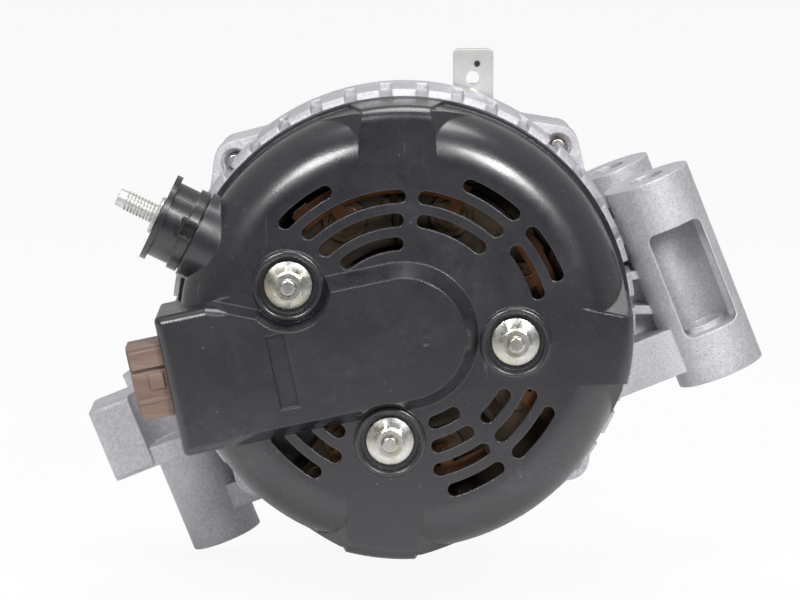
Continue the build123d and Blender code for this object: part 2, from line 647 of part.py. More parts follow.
def rear_end_frame():
    sleeve = REAR_BEARING["outer"] + SLEEVE_WALL + SEAT
    hub = sleeve + 3.6
    hub_rear, hub_front = span_of(REAR_BEARING)
    inner_wall = REAR_WALL_Y + REAR_WALL
    stator_seat = STATOR_RADIUS + SEAT
    body = turned([
        (sleeve, hub_rear), (hub, hub_rear), (hub, REAR_WALL_Y), (REAR_SPIGOT, REAR_WALL_Y),
        (REAR_SPIGOT, REAR_SHOULDER_Y - 1.5), (REAR_OUTER - 1.2, REAR_SHOULDER_Y),
        (REAR_OUTER, REAR_SHOULDER_Y + 1.2), (REAR_OUTER, REAR_FRONT_Y),
        (stator_seat, REAR_FRONT_Y), (stator_seat, STATOR_REAR_Y),
        (REAR_INNER, STATOR_REAR_Y), (REAR_INNER, inner_wall + 4), (REAR_INNER - 4, inner_wall),
        (hub, inner_wall), (hub - 1, hub_front), (sleeve, hub_front),
    ])
    half = REAR_GROOVE / 2
    groove_floor = REAR_OUTER - REAR_GROOVE_DEPTH
    groove = box((groove_floor, REAR_OUTER + 1), (REAR_SHOULDER_Y - 2, REAR_GROOVE_FRONT_Y), (-half, half))
    body -= united(around(groove, REAR_GROOVES, REAR_GROOVE_FIRST))
    inlet_outer = REAR_SPIGOT - INLET_LENGTH
    inlet = sector(inlet_outer, hub + 4, REAR_WALL_Y - 1, inner_wall + 1, 0, INLET_SPAN)
    body -= united(turned_to(angle) * inlet for angle in INLET_ANGLES)
    ears = [turned_to(a) * ear(EAR_RADIUS, EAR_REAR_Y, REAR_FRONT_Y) for a in BOLT_ANGLES]
    pads = [at(r, a, 0) * rod(SPACER_RADIUS, inner_wall - 0.1, STUD_FRONT_Y) for r, a in STUD_PLACES]
    body = united([body] + ears + pads + near_boss_arm() + foot_arm())
    cuts = [
        rod(REAR_INNER, STUD_FRONT_Y, STATOR_REAR_Y),
        rod(stator_seat, STATOR_REAR_Y, REAR_FRONT_Y + 1),
        mount_frame(bore(NEAR_BOSS)),
        foot_hole(),
    ]
    for angle in BOLT_ANGLES:
        place = at(BOLT_CIRCLE, angle, 0)
        floor = EAR_REAR_Y + EAR_RECESS
        cuts.append(place * rod(BOLT_RADIUS + SEAT, EAR_REAR_Y - 1, REAR_FRONT_Y + 1))
        cuts.append(place * rod(EAR_RECESS_RADIUS, EAR_REAR_Y - 1, floor))
        cuts.append(place * rod(EAR_STEP_RADIUS, EAR_REAR_Y - 1, floor + EAR_STEP))
    for radius, angle in STUD_PLACES:
        cuts.append(at(radius, angle, 0) * rod(STUD_RADIUS + SEAT, REAR_WALL_Y - 1, STUD_FRONT_Y + 1))
    hole = rod(RECTIFIER_SCREW_RADIUS + SEAT, REAR_WALL_Y - 1, inner_wall + 1)
    cuts += [at(RECTIFIER_SCREW_CIRCLE, angle, 0) * hole for angle in RECTIFIER_SCREW_ANGLES]
    body -= united(cuts)
    return united([body - mount_frame(window_cut()), mount_frame(window_lip())])


def near_boss_arm():
    """The rear right boss with its web and ribs."""
    size = NEAR_BOSS
    reach = size["x"] - 4
    heights = (WEB["low"], MOUNT_TOP - 5)
    web = box((48, reach), (WEB["rear"], WEB["front"]), (WEB["low"], WEB["high"]))
    back = box((52, reach), (WEB["front"] - WEB_BACK, WEB["front"]), heights)
    pieces = [mount_frame(piece) for piece in (boss(size), web, back)]
    half = RIB_THICKNESS / 2
    for angle in RIB_ANGLES:
        end = (size["x"] - 9) / cos(radians(MOUNT_TILT - angle))
        rib = box((REAR_INNER, end), (RIB_REAR_Y, WEB["front"]), (-half, half))
        pieces.append(turned_to(angle) * rib)
    pieces.append(sector(size["x"] - 6, REAR_INNER, UPPER_WEB_REAR_Y, WEB["front"], *UPPER_WEB_ANGLES))
    return pieces


def window_cut():
    """The lightening window and the cavity behind it, in the mount frame."""
    size, w = NEAR_BOSS, WINDOW
    length, middle = w["high"] - w["low"], (w["high"] + w["low"]) / 2
    cavity = Pos(size["x"], size["y"], middle) * Cylinder(w["cavity"], length)
    sketch = Pos(size["x"] + w["x"], middle) * RectangleRounded(2 * w["half"], length, w["corner"])
    return cavity + slab(sketch, size["y"], size["y"] - size["radius"] - 1)


def window_lip():
    """The raised lip round the bolt hole on the cavity's floor, in the mount frame."""
    size, low = NEAR_BOSS, WINDOW["low"]
    lip = Cylinder(WINDOW_LIP_RADIUS, WINDOW_LIP + 1) - Cylinder(MOUNT_BORE, WINDOW_LIP + 2)
    return Pos(size["x"], size["y"], low + (WINDOW_LIP - 1) / 2) * lip


def foot_arm():
    """The left foot: a bored block on a flange, with a recess between it and the ring."""
    low, high = FOOT_BOTTOM + 1, FOOT_TOP
    bend = FOOT_HOLLOW * (1 - cos(radians(45)))
    plan = make_face([
        Line((FOOT_LEFT, FOOT_FRONT_Y), (FOOT_LEFT, FOOT_REAR_Y)),
        Line((FOOT_LEFT, FOOT_REAR_Y), (FOOT_INNER, FOOT_REAR_Y)),
        Line((FOOT_INNER, FOOT_REAR_Y), (FOOT_INNER, FOOT_FLOOR_Y - FOOT_HOLLOW)),
        ThreePointArc(
            (FOOT_INNER, FOOT_FLOOR_Y - FOOT_HOLLOW), (FOOT_INNER + bend, FOOT_FLOOR_Y - bend),
            (FOOT_INNER + FOOT_HOLLOW, FOOT_FLOOR_Y),
        ),
        Line((FOOT_INNER + FOOT_HOLLOW, FOOT_FLOOR_Y), (FOOT_ROOT, FOOT_FLOOR_Y)),
        Line((FOOT_ROOT, FOOT_FLOOR_Y), (FOOT_ROOT, FOOT_FRONT_Y)),
        Line((FOOT_ROOT, FOOT_FRONT_Y), (FOOT_LEFT, FOOT_FRONT_Y)),
    ])
    block = Pos(0, 0, low) * extrude(plan, high - low)
    block = fillet(block.edges().filter_by(Axis.Z).group_by(Axis.X)[0], FOOT_EDGE)
    block = fillet(block.edges().group_by(Axis.Z)[-1].group_by(Axis.X)[0], FOOT_EDGE / 2)
    flange = box((FOOT_LEFT, FOOT_ROOT), (FOOT_LEDGE_REAR_Y, FOOT_FRONT_Y), (FOOT_BOTTOM, FOOT_LEDGE))
    flange = fillet(flange.edges().filter_by(Axis.Z).group_by(Axis.X)[0], FOOT_EDGE)
    return [mount_frame(piece) for piece in (block, flange)]


def foot_hole():
    """The blind hole for the foot's bush, open below."""
    low = FOOT_BOTTOM - 1
    hole = Cylinder(BUSH_OUTER + SEAT, BUSH_TOP - low)
    return mount_frame(Pos(FOOT_HOLE_X, FOOT_Y, (BUSH_TOP + low) / 2) * hole)


def drive_end_frame():
    stator_front = STATOR_REAR_Y + STATOR_LENGTH
    stator_seat = STATOR_RADIUS + SEAT
    lip_y = span_of(FRONT_BEARING)[1]
    seat = FRONT_BEARING["outer"] + SEAT
    hub_rear = span_of(FRONT_BEARING)[0]
    inner_wall = DRIVE_FRONT_Y - DRIVE_WALL
    slope, shoulder = DRIVE_SLOPE_Y
    inside = [
        (DRIVE_INNER, stator_front), (DRIVE_INNER - 0.8, DRIVE_THROAT_Y), (DRIVE_NOSE - 1, inner_wall),
        (HUB_RADIUS, inner_wall), (HUB_RADIUS, hub_rear),
    ]
    body = turned([
        (HUB_LIP_RADIUS, HUB_FRONT_Y), (HUB_RADIUS - 2, HUB_FRONT_Y), (HUB_RADIUS, DRIVE_FRONT_Y),
        (DRIVE_NOSE, DRIVE_FRONT_Y), (DRIVE_SHOULDER, shoulder), (DRIVE_OUTER, slope),
        (DRIVE_OUTER, DRIVE_REAR_Y), (stator_seat, DRIVE_REAR_Y), (stator_seat, stator_front),
        *inside, (seat, hub_rear), (seat, lip_y), (HUB_LIP_RADIUS, lip_y),
    ])
    half = DRIVE_WINDOW_HALF
    window = sector(DRIVE_NOSE - 4, HUB_RADIUS + 3, inner_wall - 1, DRIVE_FRONT_Y + 1, -half, half)
    body -= united(around(window, DRIVE_WINDOWS, 15))
    half = DRIVE_SIDE_SLOT / 2
    side = box((DRIVE_NOSE, DRIVE_OUTER + 1), DRIVE_SIDE_SLOT_Y, (-half, half))
    body -= united(around(side, DRIVE_SIDE_SLOTS, 6))
    ears = [turned_to(a) * ear(DRIVE_EAR_RADIUS, DRIVE_REAR_Y, DRIVE_EAR_FRONT_Y) for a in BOLT_ANGLES]
    arms = front_arms(FAR_BOSS, 40, FAR_ARM_SPANS) + front_arms(LEFT_BOSS, -45, LEFT_ARM_SPANS)
    lug_rear = BRACKET_REAR_Y + BRACKET_THICKNESS
    lug = box(BRACKET_LUG_X, (lug_rear, BRACKET_LUG_FRONT_Y), (BRACKET_LUG_TOP - 7, BRACKET_LUG_TOP))
    body = united([body, lug] + ears + [mount_frame(arm) for arm in arms])
    screw_end = lug_rear + BRACKET_SCREW_LENGTH
    cuts = [
        turned([(0, stator_front)] + inside + [(0, hub_rear)]),
        rod(stator_seat, lug_rear - 1, stator_front),
        mount_frame(bore(FAR_BOSS)),
        mount_frame(bore(LEFT_BOSS)),
        bracket_screw_place() * rod(BRACKET_SCREW_RADIUS + SEAT, lug_rear - 1, screw_end),
    ]
    head_room = BOLT_FLANGE_RADIUS + LOOSE
    for angle in BOLT_ANGLES:
        place = at(BOLT_CIRCLE, angle, 0)
        cuts.append(place * rod(BOLT_RADIUS + LOOSE, DRIVE_REAR_Y - 1, DRIVE_EAR_FRONT_Y + 1))
        cuts.append(place * rod(head_room, DRIVE_EAR_FRONT_Y, DRIVE_EAR_FRONT_Y + BOLT_HEAD + 4))
    hole = rod(RETAINER_SCREW_RADIUS + SEAT, hub_rear - 1, hub_rear + RETAINER_SCREW_LENGTH)
    cuts += [place * hole for place in retainer_screw_places()]
    return body - united(cuts)


def front_arms(size, root, spans):
    """A front boss with two arms and the thin wall between them, in the mount frame."""
    x, y = size["x"], size["y"]
    rear = y - size["radius"] + 2
    arms = [box((root, x), (rear, y + ARM_FRONT), span) for span in spans]
    wall = box((root, x), (y - ARM_HALF, y + ARM_HALF), (spans[0][0], spans[-1][-1]))
    return [boss(size), wall] + arms


def retainer_screw_places():
    return [at(RETAINER_SCREW_CIRCLE - 1, 45 + 360 * n / RETAINER_SCREWS, 0) for n in range(RETAINER_SCREWS)]


def bearing_retainer():
    """The plate that holds the front bearing, and its screws."""
    front = FRONT_BEARING["y"] - FRONT_BEARING["width"] / 2
    rear = front - RETAINER_THICKNESS
    plate = ring(RETAINER_RADIUS - 2.2, FRONT_BEARING["outer"] - 4.5, rear, front)
    screws = []
    for place in retainer_screw_places():
        plate -= place * rod(RETAINER_SCREW_RADIUS + LOOSE, rear - 1, front + 1)
        screw = rod(RETAINER_SCREW_RADIUS, rear - 0.1, front + RETAINER_SCREW_LENGTH - 1)
        screw += rod(RETAINER_SCREW_RADIUS * 1.75, rear - 1.8, rear)
        screws.append(place * screw)
    return plate, screws


def through_bolts():
    """Flange bolts that clamp the stator between the two frames."""
    seat = DRIVE_EAR_FRONT_Y
    shank = rod(BOLT_RADIUS, BOLT_END_Y, seat + 0.2)
    shank = chamfer(shank.edges().group_by(Axis.Y)[0], BOLT_RADIUS / 5)
    flange = rod(BOLT_FLANGE_RADIUS, seat, seat + BOLT_FLANGE)
    head = hex_prism(BOLT_HEAD_AF, seat + BOLT_FLANGE - 0.1, seat + BOLT_HEAD)
    bolt = united([shank, flange, head])
    return [at(BOLT_CIRCLE, angle, 0) * bolt for angle in BOLT_ANGLES]


def bracket_screw_place():
    return Pos(BRACKET_HOLE_AT[0], 0, BRACKET_SCREW_Z)


def harness_bracket():
    """The bent steel tab for the wiring harness, and its screw."""
    t = BRACKET_THICKNESS
    left, right = BRACKET_X
    rear, front = BRACKET_REAR_Y, BRACKET_REAR_Y + t
    bend = rear + BRACKET_FLANGE
    top = BRACKET_TOP
    tab = box(BRACKET_X, (rear, front), (BRACKET_BOTTOM, top))
    tab = fillet(tab.edges().filter_by(Axis.Y).group_by(Axis.Z)[-1], BRACKET_CORNER)
    lip = box((left + BRACKET_CORNER, right - BRACKET_CORNER), (rear, bend), (top - t, top))
    flange = box((left, left + t), (rear, bend), (BRACKET_FLANGE_BOTTOM, top - BRACKET_CORNER))
    body = united([tab, lip, flange])
    body -= Pos(BRACKET_HOLE_AT[0], 0, BRACKET_HOLE_AT[1]) * rod(BRACKET_HOLE, rear - 1, front + 1)
    body -= bracket_screw_place() * rod(BRACKET_SCREW_RADIUS + LOOSE, rear - 1, front + 1)
    screw = rod(BRACKET_SCREW_HEAD_RADIUS, rear - BRACKET_SCREW_HEAD, rear)
    screw = fillet(screw.edges().group_by(Axis.Y)[0], BRACKET_SCREW_HEAD / 2)
    screw += rod(BRACKET_SCREW_RADIUS, rear - 0.1, front + BRACKET_SCREW_LENGTH - 1)
    return body, bracket_screw_place() * screw


def rear_mount_bush():
    """The split steel bush pressed into the left foot from below."""
    low = FOOT_BOTTOM - BUSH_PROUD
    length = BUSH_TOP - low
    bush = Cylinder(BUSH_OUTER, length) - Cylinder(BUSH_INNER, length + 2)
    return mount_frame(Pos(FOOT_HOLE_X, FOOT_Y, (BUSH_TOP + low) / 2) * bush)


# ====================================================================== rear cover
def regulator_frame(piece):
    """Turns a piece built along X into the regulator's place."""
    return turned_to(REG_TILT) * piece


def rounded_drum(radius, edge, inset):
    """A drum from the cover's face to its rim, with a round edge to the face, shrunk by inset."""
    face, open_y = COVER_FACE_Y + inset, COVER_RIM_Y + inset
    outer, corner = radius - inset, max(edge - inset, LEAST_CORNER)
    bend = corner * (1 - cos(radians(45)))
    outline = [
        Line((0, open_y), (0, face)), Line((0, face), (outer - corner, face)),
        ThreePointArc((outer - corner, face), (outer - bend, face + bend), (outer, face + corner)),
        Line((outer, face + corner), (outer, open_y)), Line((outer, open_y), (0, open_y)),
    ]
    return revolve(make_face(outline), Axis.Y)


def dome(inset):
    """The round body of the cover, shrunk by inset."""
    return rounded_drum(DOME_RADIUS, DOME_EDGE, inset)


def lobes(inset):
    """The three pads that carry the flat face out to the rim, shrunk by inset."""
    base, tip = LOBE_BASE_HALF - inset, LOBE_TIP_HALF - inset
    reach = LOBE_RADIUS + 4
    corners = [(LOBE_BASE_RADIUS, -base), (reach, -tip), (reach, tip), (LOBE_BASE_RADIUS, base)]
    plan = Polygon(*corners, align=None)
    shapes = (
        (LOBE_RADIUS, 0, LOBE_DRAFT),
        (DOME_RADIUS, LOBE_SKIRT_DROP, LOBE_SKIRT_DRAFT),
    )
    pads = []
    for radius, drop, draft in shapes:
        start = COVER_FACE_Y + inset + drop
        face_plane = Plane(origin=(0, start, 0), x_dir=(1, 0, 0), z_dir=(0, 1, 0))
        pad = extrude(face_plane * plan, COVER_RIM_Y + inset - start, taper=-draft)
        envelope = rounded_drum(radius, LOBE_EDGE, inset)
        pads += [turned_to(angle) * pad & envelope for angle in LOBE_ANGLES]
    return pads


def plateau(inset):
    """The raised U over the brushes and regulator, shrunk by inset."""
    foot = PLATEAU_HALF - inset
    top = foot - PLATEAU_HEIGHT * sin(radians(PLATEAU_TAPER)) / cos(radians(PLATEAU_TAPER))
    face = COVER_FACE_Y + inset
    crown = face - PLATEAU_HEIGHT
    nose = turned([(0, face + 1), (foot, face + 1), (foot, face), (top, crown), (0, crown)])
    section = Polygon(
        (-foot, face + 1), (foot, face + 1), (foot, face), (top, crown), (-top, crown), (-foot, face),
        align=None,
    )
    side_plane = Plane(origin=(0, 0, 0), x_dir=(0, 0, 1), z_dir=(-1, 0, 0))
    return regulator_frame(nose + extrude(side_plane * section, SHROUD_WAIST, dir=(-1, 0, 0)))


def shroud(inset):
    """The box over the connector, open at its left end, shrunk by inset."""
    half = SHROUD_HALF - inset
    top = COVER_FACE_Y - PLATEAU_HEIGHT + inset
    end = SHROUD_END + (3 if inset else 0)
    neck = SHROUD_NECK_HALF - inset
    plan = Polygon(
        (-end, -half), (-SHROUD_WAIST, -half), (-SHROUD_START, -neck),
        (-SHROUD_START, neck), (-SHROUD_WAIST, half), (-end, half), align=None,
    )
    plan = fillet(plan.vertices().group_by(Axis.X)[0], SHROUD_END_CORNER)
    body = slab(plan, SHROUD_FRONT_Y, top)
    sides = [edge for edge in body.edges().group_by(Axis.Y)[0] if abs(edge.tangent_at(0.5).X) > 0.3]
    return regulator_frame(fillet(sides, SHROUD_CORNER - inset / 2))


def nut_clearance(inset):
    """The cones that keep the plateau clear of the cover's nuts."""
    top = PLATEAU_HEIGHT + 3
    base = NUT_CLEAR_RADIUS + inset
    cone = Pos(0, COVER_FACE_Y + inset - top / 2, 0) * Rot(90, 0, 0) * Cone(base, base + 2.4, top)
    radius, angle = STUD_PLACES[0]
    nut_x = -radius * cos(radians(180 + REG_TILT - angle))
    nut_z = radius * sin(radians(180 + REG_TILT - angle))
    plan = Polygon(
        (-SHROUD_WAIST + 1.5, SHROUD_HALF + 1), (nut_x - 0.85 * base, nut_z - 0.5 * base),
        (nut_x, nut_z), (nut_x, nut_z + 2 * base), (-SHROUD_WAIST, nut_z + 2 * base), align=None,
    )
    face_plane = Plane(origin=(0, COVER_FACE_Y + inset, 0), x_dir=(1, 0, 0), z_dir=(0, -1, 0))
    blend = regulator_frame(extrude(face_plane * plan, top, taper=-PLATEAU_TAPER / 2))
    return [at(r, a, 0) * cone for r, a in STUD_PLACES] + [blend]


def cover_form(inset):
    """The closed outer form of the cover, shrunk by inset."""
    raised = united([plateau(inset), shroud(inset)]) - united(nut_clearance(inset))
    return united([dome(inset), raised] + lobes(inset))


def rear_cover():
    outer = cover_form(0)
    floor_y = COVER_FACE_Y + NUT_WELL_DEPTH
    wells, lips, well_cuts = [], [], []
    for radius, angle in STUD_PLACES:
        place = at(radius, angle, 0)
        wells.append(place * rod(NUT_WELL_RADIUS + COVER_WALL, COVER_FACE_Y, floor_y + COVER_WALL))
        ridge = Pos(0, COVER_FACE_Y, 0) * Rot(90, 0, 0) * Torus(NUT_WELL_RADIUS + NUT_LIP, NUT_LIP)
        lips.append(place * ridge)
        well_cuts.append(place * rod(NUT_WELL_RADIUS, COVER_FACE_Y - 9, floor_y))
        well_cuts.append(place * rod(STUD_RADIUS + LOOSE, COVER_FACE_Y - 9, floor_y + 9))
    inner = cover_form(COVER_WALL)
    inner -= united(wells)
    rim = ring(RIM_RADIUS, DOME_RADIUS - COVER_WALL / 2, COVER_RIM_Y - RIM_LIP, COVER_RIM_Y)
    body = united([outer, rim, bplus_neck()] + lips) - inner
    face_front = COVER_FACE_Y + 9
    slots = [
        vent(VENT_ROW + row * VENT_PITCH, VENT_WIDTH, first, last, face_front, COVER_FACE_Y - 1)
        for row, first, last in VENTS
    ]
    top = COVER_FACE_Y - PLATEAU_HEIGHT
    mark = Pos(MARK_AT[0], top, MARK_AT[1]) * Box(MARK_WIDTH, 2 * MARK_DEPTH, MARK_LENGTH)
    mark = regulator_frame(mark)
    gate = Pos(GATE_AT[0], 0, GATE_AT[1]) * rod(GATE_RADIUS, top - 1, top + GATE_DEPTH)
    body -= united(well_cuts + slots + [mark, gate])
    body -= bplus_frame(axis_x(BPLUS_BODY_RADIUS + LOOSE, BPLUS_DISC_X, BPLUS_BORE_END))
    body -= foot_clearance()
    return body


def foot_clearance():
    """Room for the rear end frame's foot and ears below the connector's box."""
    return box((-120, 120), (SHROUD_FRONT_Y, 0), (-120, 120)) - rod(RIM_RADIUS, SHROUD_FRONT_Y - 1, 1)


def cover_nuts():
    """Flange nuts that hold the cover on its studs."""
    floor_y = COVER_FACE_Y + NUT_WELL_DEPTH
    nut = rod(NUT_FLANGE_RADIUS, floor_y - NUT_FLANGE, floor_y)
    nut += hex_prism(NUT_AF, floor_y - NUT_HEIGHT, floor_y - NUT_FLANGE + 0.1)
    nut -= rod(STUD_RADIUS + SEAT, floor_y - NUT_HEIGHT - 1, floor_y + 1)
    return [at(r, a, 0) * nut for r, a in STUD_PLACES]


def cover_studs():
    stud = rod(STUD_RADIUS, STUD_END_Y, STUD_FRONT_Y + 0.5)
    return [at(r, a, 0) * chamfer(stud.edges().group_by(Axis.Y)[0], 0.5) for r, a in STUD_PLACES]


def rectifier_spacers():
    """Sleeves on the studs between the negative heat sink and the cover."""
    rear = COVER_FACE_Y + NUT_WELL_DEPTH + COVER_WALL
    front = REAR_WALL_Y - NEG_SINK_THICKNESS
    sleeve = ring(SPACER_RADIUS, STUD_RADIUS + SEAT, rear, front)
    return [at(r, a, 0) * sleeve for r, a in STUD_PLACES]


# ===================================================================== B terminal
def bplus_frame(piece):
    """Turns a piece built along X into the output terminal's place."""
    return turned_to(BPLUS_TILT) * Pos(0, BPLUS_Y, BPLUS_Z) * piece


def axis_x(radius, x0, x1):
    """A cylinder along X from x0 to x1."""
    return Pos((x0 + x1) / 2, 0, 0) * Rot(0, 90, 0) * Cylinder(radius, abs(x1 - x0))


def bplus_room(piece):
    """Keeps the part of a terminal piece that clears the rear end frame."""
    return piece & box((-90, -40), (COVER_FACE_Y + 0.3 - BPLUS_Y, BPLUS_ROOM_Y - BPLUS_Y), (-40, 40))


def bplus_neck():
    """The flared neck on the cover's side that the insulator passes through."""
    end, middle, root = BPLUS_NECK
    tip, waist, flare = BPLUS_NECK_RADII
    outline = [
        Line((end, 0), (end, tip)), ThreePointArc((end, tip), (middle, waist), (root, flare)),
        Line((root, flare), (root, 0)), Line((root, 0), (end, 0)),
    ]
    return bplus_frame(bplus_room(revolve(make_face(outline), Axis.X)))


def bplus_insulator():
    """The moulded collar round the output stud."""
    latch, wall = BPLUS_LATCH, BPLUS_LATCH["wall"]
    rear = -BPLUS_BAND_RADIUS - latch["proud"]
    body = axis_x(BPLUS_BODY_RADIUS, BPLUS_DISC_X, BPLUS_BODY_END)
    body += axis_x(BPLUS_DISC_RADIUS, BPLUS_DISC_X, BPLUS_DISC_X + BPLUS_DISC)
    body += axis_x(BPLUS_BAND_RADIUS, *BPLUS_BAND)
    body += box(latch["x"], (rear, 0), latch["z"])
    pocket_x = (latch["x"][0] + wall, latch["x"][1] + 1)
    pocket_z = (latch["z"][0] + wall, latch["z"][1] - wall)
    body -= box(pocket_x, (rear - 1, -BPLUS_BODY_RADIUS), pocket_z)
    body -= axis_x(BPLUS_SHANK_RADIUS + SEAT, BPLUS_DISC_X - 1, BPLUS_BODY_END + 1)
    return bplus_frame(bplus_room(body))


def bplus_stud():
    """The output stud: its thread, its shank and its root in the heat sink's pad."""
    thread = axis_x(BPLUS_STUD_RADIUS, BPLUS_STUD_TIP, BPLUS_DISC_X + 1)
    thread = chamfer(thread.edges().group_by(Axis.X)[0], BPLUS_STUD_CHAMFER)
    shank = axis_x(BPLUS_SHANK_RADIUS, BPLUS_DISC_X, BPLUS_STUD_ROOT)
    root = axis_x(BPLUS_ROOT_RADIUS, BPLUS_STUD_ROOT - BPLUS_ROOT_LENGTH, BPLUS_STUD_ROOT)
    return bplus_frame(united([thread, shank, root]))


# ===================================================================== electronics
def negative_heat_sink():
    front, rear = REAR_WALL_Y, REAR_WALL_Y - NEG_SINK_THICKNESS
    body = sector(NEG_SINK_OUTER, NEG_SINK_INNER, rear, front, *SINK_ANGLES)
    diode_hole = rod(DIODE_RADIUS + SEAT, rear - 1, front + 1)
    holes = [circled(NEG_DIODE_CIRCLE, a) * diode_hole for a in DIODE_ANGLES]
    holes += [at(r, a, 0) * rod(STUD_RADIUS + LOOSE, rear - 1, front + 1) for r, a in STUD_PLACES]
    holes += [
        circled(RECTIFIER_SCREW_CIRCLE, a) * rod(RECTIFIER_SCREW_RADIUS + LOOSE, rear - 1, front + 1)
        for a in RECTIFIER_SCREW_ANGLES
    ]
    return body - united(holes)


def block_planes():
    front = REAR_WALL_Y - NEG_SINK_THICKNESS
    return front, front - BLOCK_THICKNESS


def positive_heat_sink():
    front = block_planes()[1]
    rear = front - POS_SINK_THICKNESS
    body = sector(POS_SINK_OUTER, POS_SINK_INNER, rear, front, *SINK_ANGLES)
    fins = []
    for angle in POS_FIN_ANGLES:
        span = (angle, angle + POS_FIN_SPAN)
        fins.append(sector(BUS_INNER - 1, POS_SINK_INNER + 1, rear - POS_SINK_FIN, rear, *span))
    body = united([body] + fins)
    diode_hole = rod(DIODE_RADIUS + SEAT, rear - 9, front + 1)
    holes = [circled(POS_DIODE_CIRCLE, a) * diode_hole for a in DIODE_ANGLES]
    holes += [at(r, a, 0) * rod(SPACER_RADIUS + LOOSE, rear - 9, front + 1) for r, a in STUD_PLACES]
    body -= united(holes)
    stud_room = bplus_frame(axis_x(BPLUS_ROOT_RADIUS + SEAT, BPLUS_DISC_X, BPLUS_STUD_ROOT))
    return united([body, bplus_pad()]) - stud_room


def bplus_pad():
    """The block on the positive heat sink that grips the output stud's root."""
    half = BPLUS_PAD_HALF
    depth = (-half, BPLUS_PAD_FRONT)
    root = BPLUS_STUD_ROOT - BPLUS_ROOT_LENGTH
    pad = box((root, BPLUS_PAD_END), depth, (-half, half))
    pad += box((BPLUS_ARM_START, BPLUS_PAD_END), depth, (0, BPLUS_ARM - BPLUS_Z))
    return bplus_frame(pad) - united(nut_room())


def nut_room():
    """Room for the cover's studs and their spacers."""
    rear, front = COVER_FACE_Y - 4, REAR_WALL_Y
    return [at(r, a, 0) * rod(SPACER_RADIUS + LOOSE, rear, front) for r, a in STUD_PLACES]


def terminal_block():
    """The resin block between the two heat sinks, with a rim for the bus bars."""
    front, rear = block_planes()
    body = sector(BLOCK_OUTER - 2.2, BLOCK_INNER, rear, front, SINK_ANGLES[0] + 3, SINK_ANGLES[1] - 16)
    posts = []
    post_rear = rear - POS_SINK_THICKNESS - BUS_GAP
    for angle in DIODE_ANGLES:
        span = (angle + POST_ANGLES[0], angle + POST_ANGLES[1])
        posts.append(sector(BLOCK_OUTER, POS_SINK_OUTER + LOOSE / 2, post_rear, front, *span))
    body = united([body] + posts)
    room = rod(DIODE_RADIUS + 2 * LOOSE, rear - 9, front + 1)
    circles = (POS_DIODE_CIRCLE, NEG_DIODE_CIRCLE)
    holes = [circled(circle, a) * room for circle in circles for a in DIODE_ANGLES]
    return body - united(holes + nut_room())


def diode(front, rear_body, lead_end):
    """A pressed-in diode: knurled body, cap and lead, pointing towards -Y."""
    body = rod(DIODE_RADIUS, rear_body, front)
    body += rod(DIODE_CAP_RADIUS, rear_body - 1.2, rear_body + 0.1)
    return body + rod(DIODE_LEAD_RADIUS, lead_end, rear_body)


def positive_diodes():
    front = block_planes()[1] + 1.2
    rear = front - DIODE_HEIGHT
    lead_end = block_planes()[1] - POS_SINK_THICKNESS - BUS_GAP - BUS_THICKNESS - 1
    return [circled(POS_DIODE_CIRCLE, a) * diode(front, rear, lead_end) for a in DIODE_ANGLES]


def negative_diodes():
    front = REAR_WALL_Y - 0.3
    rear = front - DIODE_HEIGHT
    return [circled(NEG_DIODE_CIRCLE, a) * diode(front, rear, rear - 4) for a in DIODE_ANGLES]


def phase_bus_bars():
    """Three bars on the block's posts that join the diodes' leads in pairs."""
    front = block_planes()[1] - POS_SINK_THICKNESS - BUS_GAP
    rear = front - BUS_THICKNESS
    bars = []
    for first, second in zip(DIODE_ANGLES[::2], DIODE_ANGLES[1::2]):
        arc = sector(BUS_OUTER, BUS_INNER, rear, front, first - 3, second + 16)
        tabs = [
            turned_to(a) * box((POS_DIODE_CIRCLE - 2, BUS_INNER + 1), (rear, front), (-1.8, 1.8))
            for a in (first, second)
        ]
        bar = united([arc] + tabs)
        for angle in (first, second):
            bar -= circled(POS_DIODE_CIRCLE, angle) * rod(DIODE_LEAD_RADIUS + SEAT, rear - 1, front + 1)
        bars.append(bar)
    return bars


def rectifier_screws():
    rear = REAR_WALL_Y - NEG_SINK_THICKNESS
    screw = rod(RECTIFIER_SCREW_RADIUS, rear - 0.1, REAR_WALL_Y + REAR_WALL - 0.4)
    screw += rod(RECTIFIER_SCREW_RADIUS * 1.9, rear - 2.2, rear)
    return [circled(RECTIFIER_SCREW_CIRCLE, a) * screw for a in RECTIFIER_SCREW_ANGLES]


def well_clearance():
    """Room for the cover's nut wells and the cones above them."""
    radius = NUT_CLEAR_RADIUS + COVER_WALL + LOOSE
    front = COVER_FACE_Y + NUT_WELL_DEPTH + COVER_WALL + LOOSE
    wells = [at(r, a, 0) * rod(radius, COVER_FACE_Y - PLATEAU_HEIGHT, front) for r, a in STUD_PLACES]
    return wells + nut_clearance(COVER_WALL + LOOSE)


def voltage_regulator():
    """The regulator's resin body with a finned metal base."""
    x0, x1 = REG_BODY
    body = box((x0, x1), (REG_BACK_Y, REG_FRONT_Y), (-REG_HALF, REG_HALF))
    body = chamfer(body.edges().filter_by(Axis.Y), 1.5)
    return regulator_frame(body) - united(well_clearance())


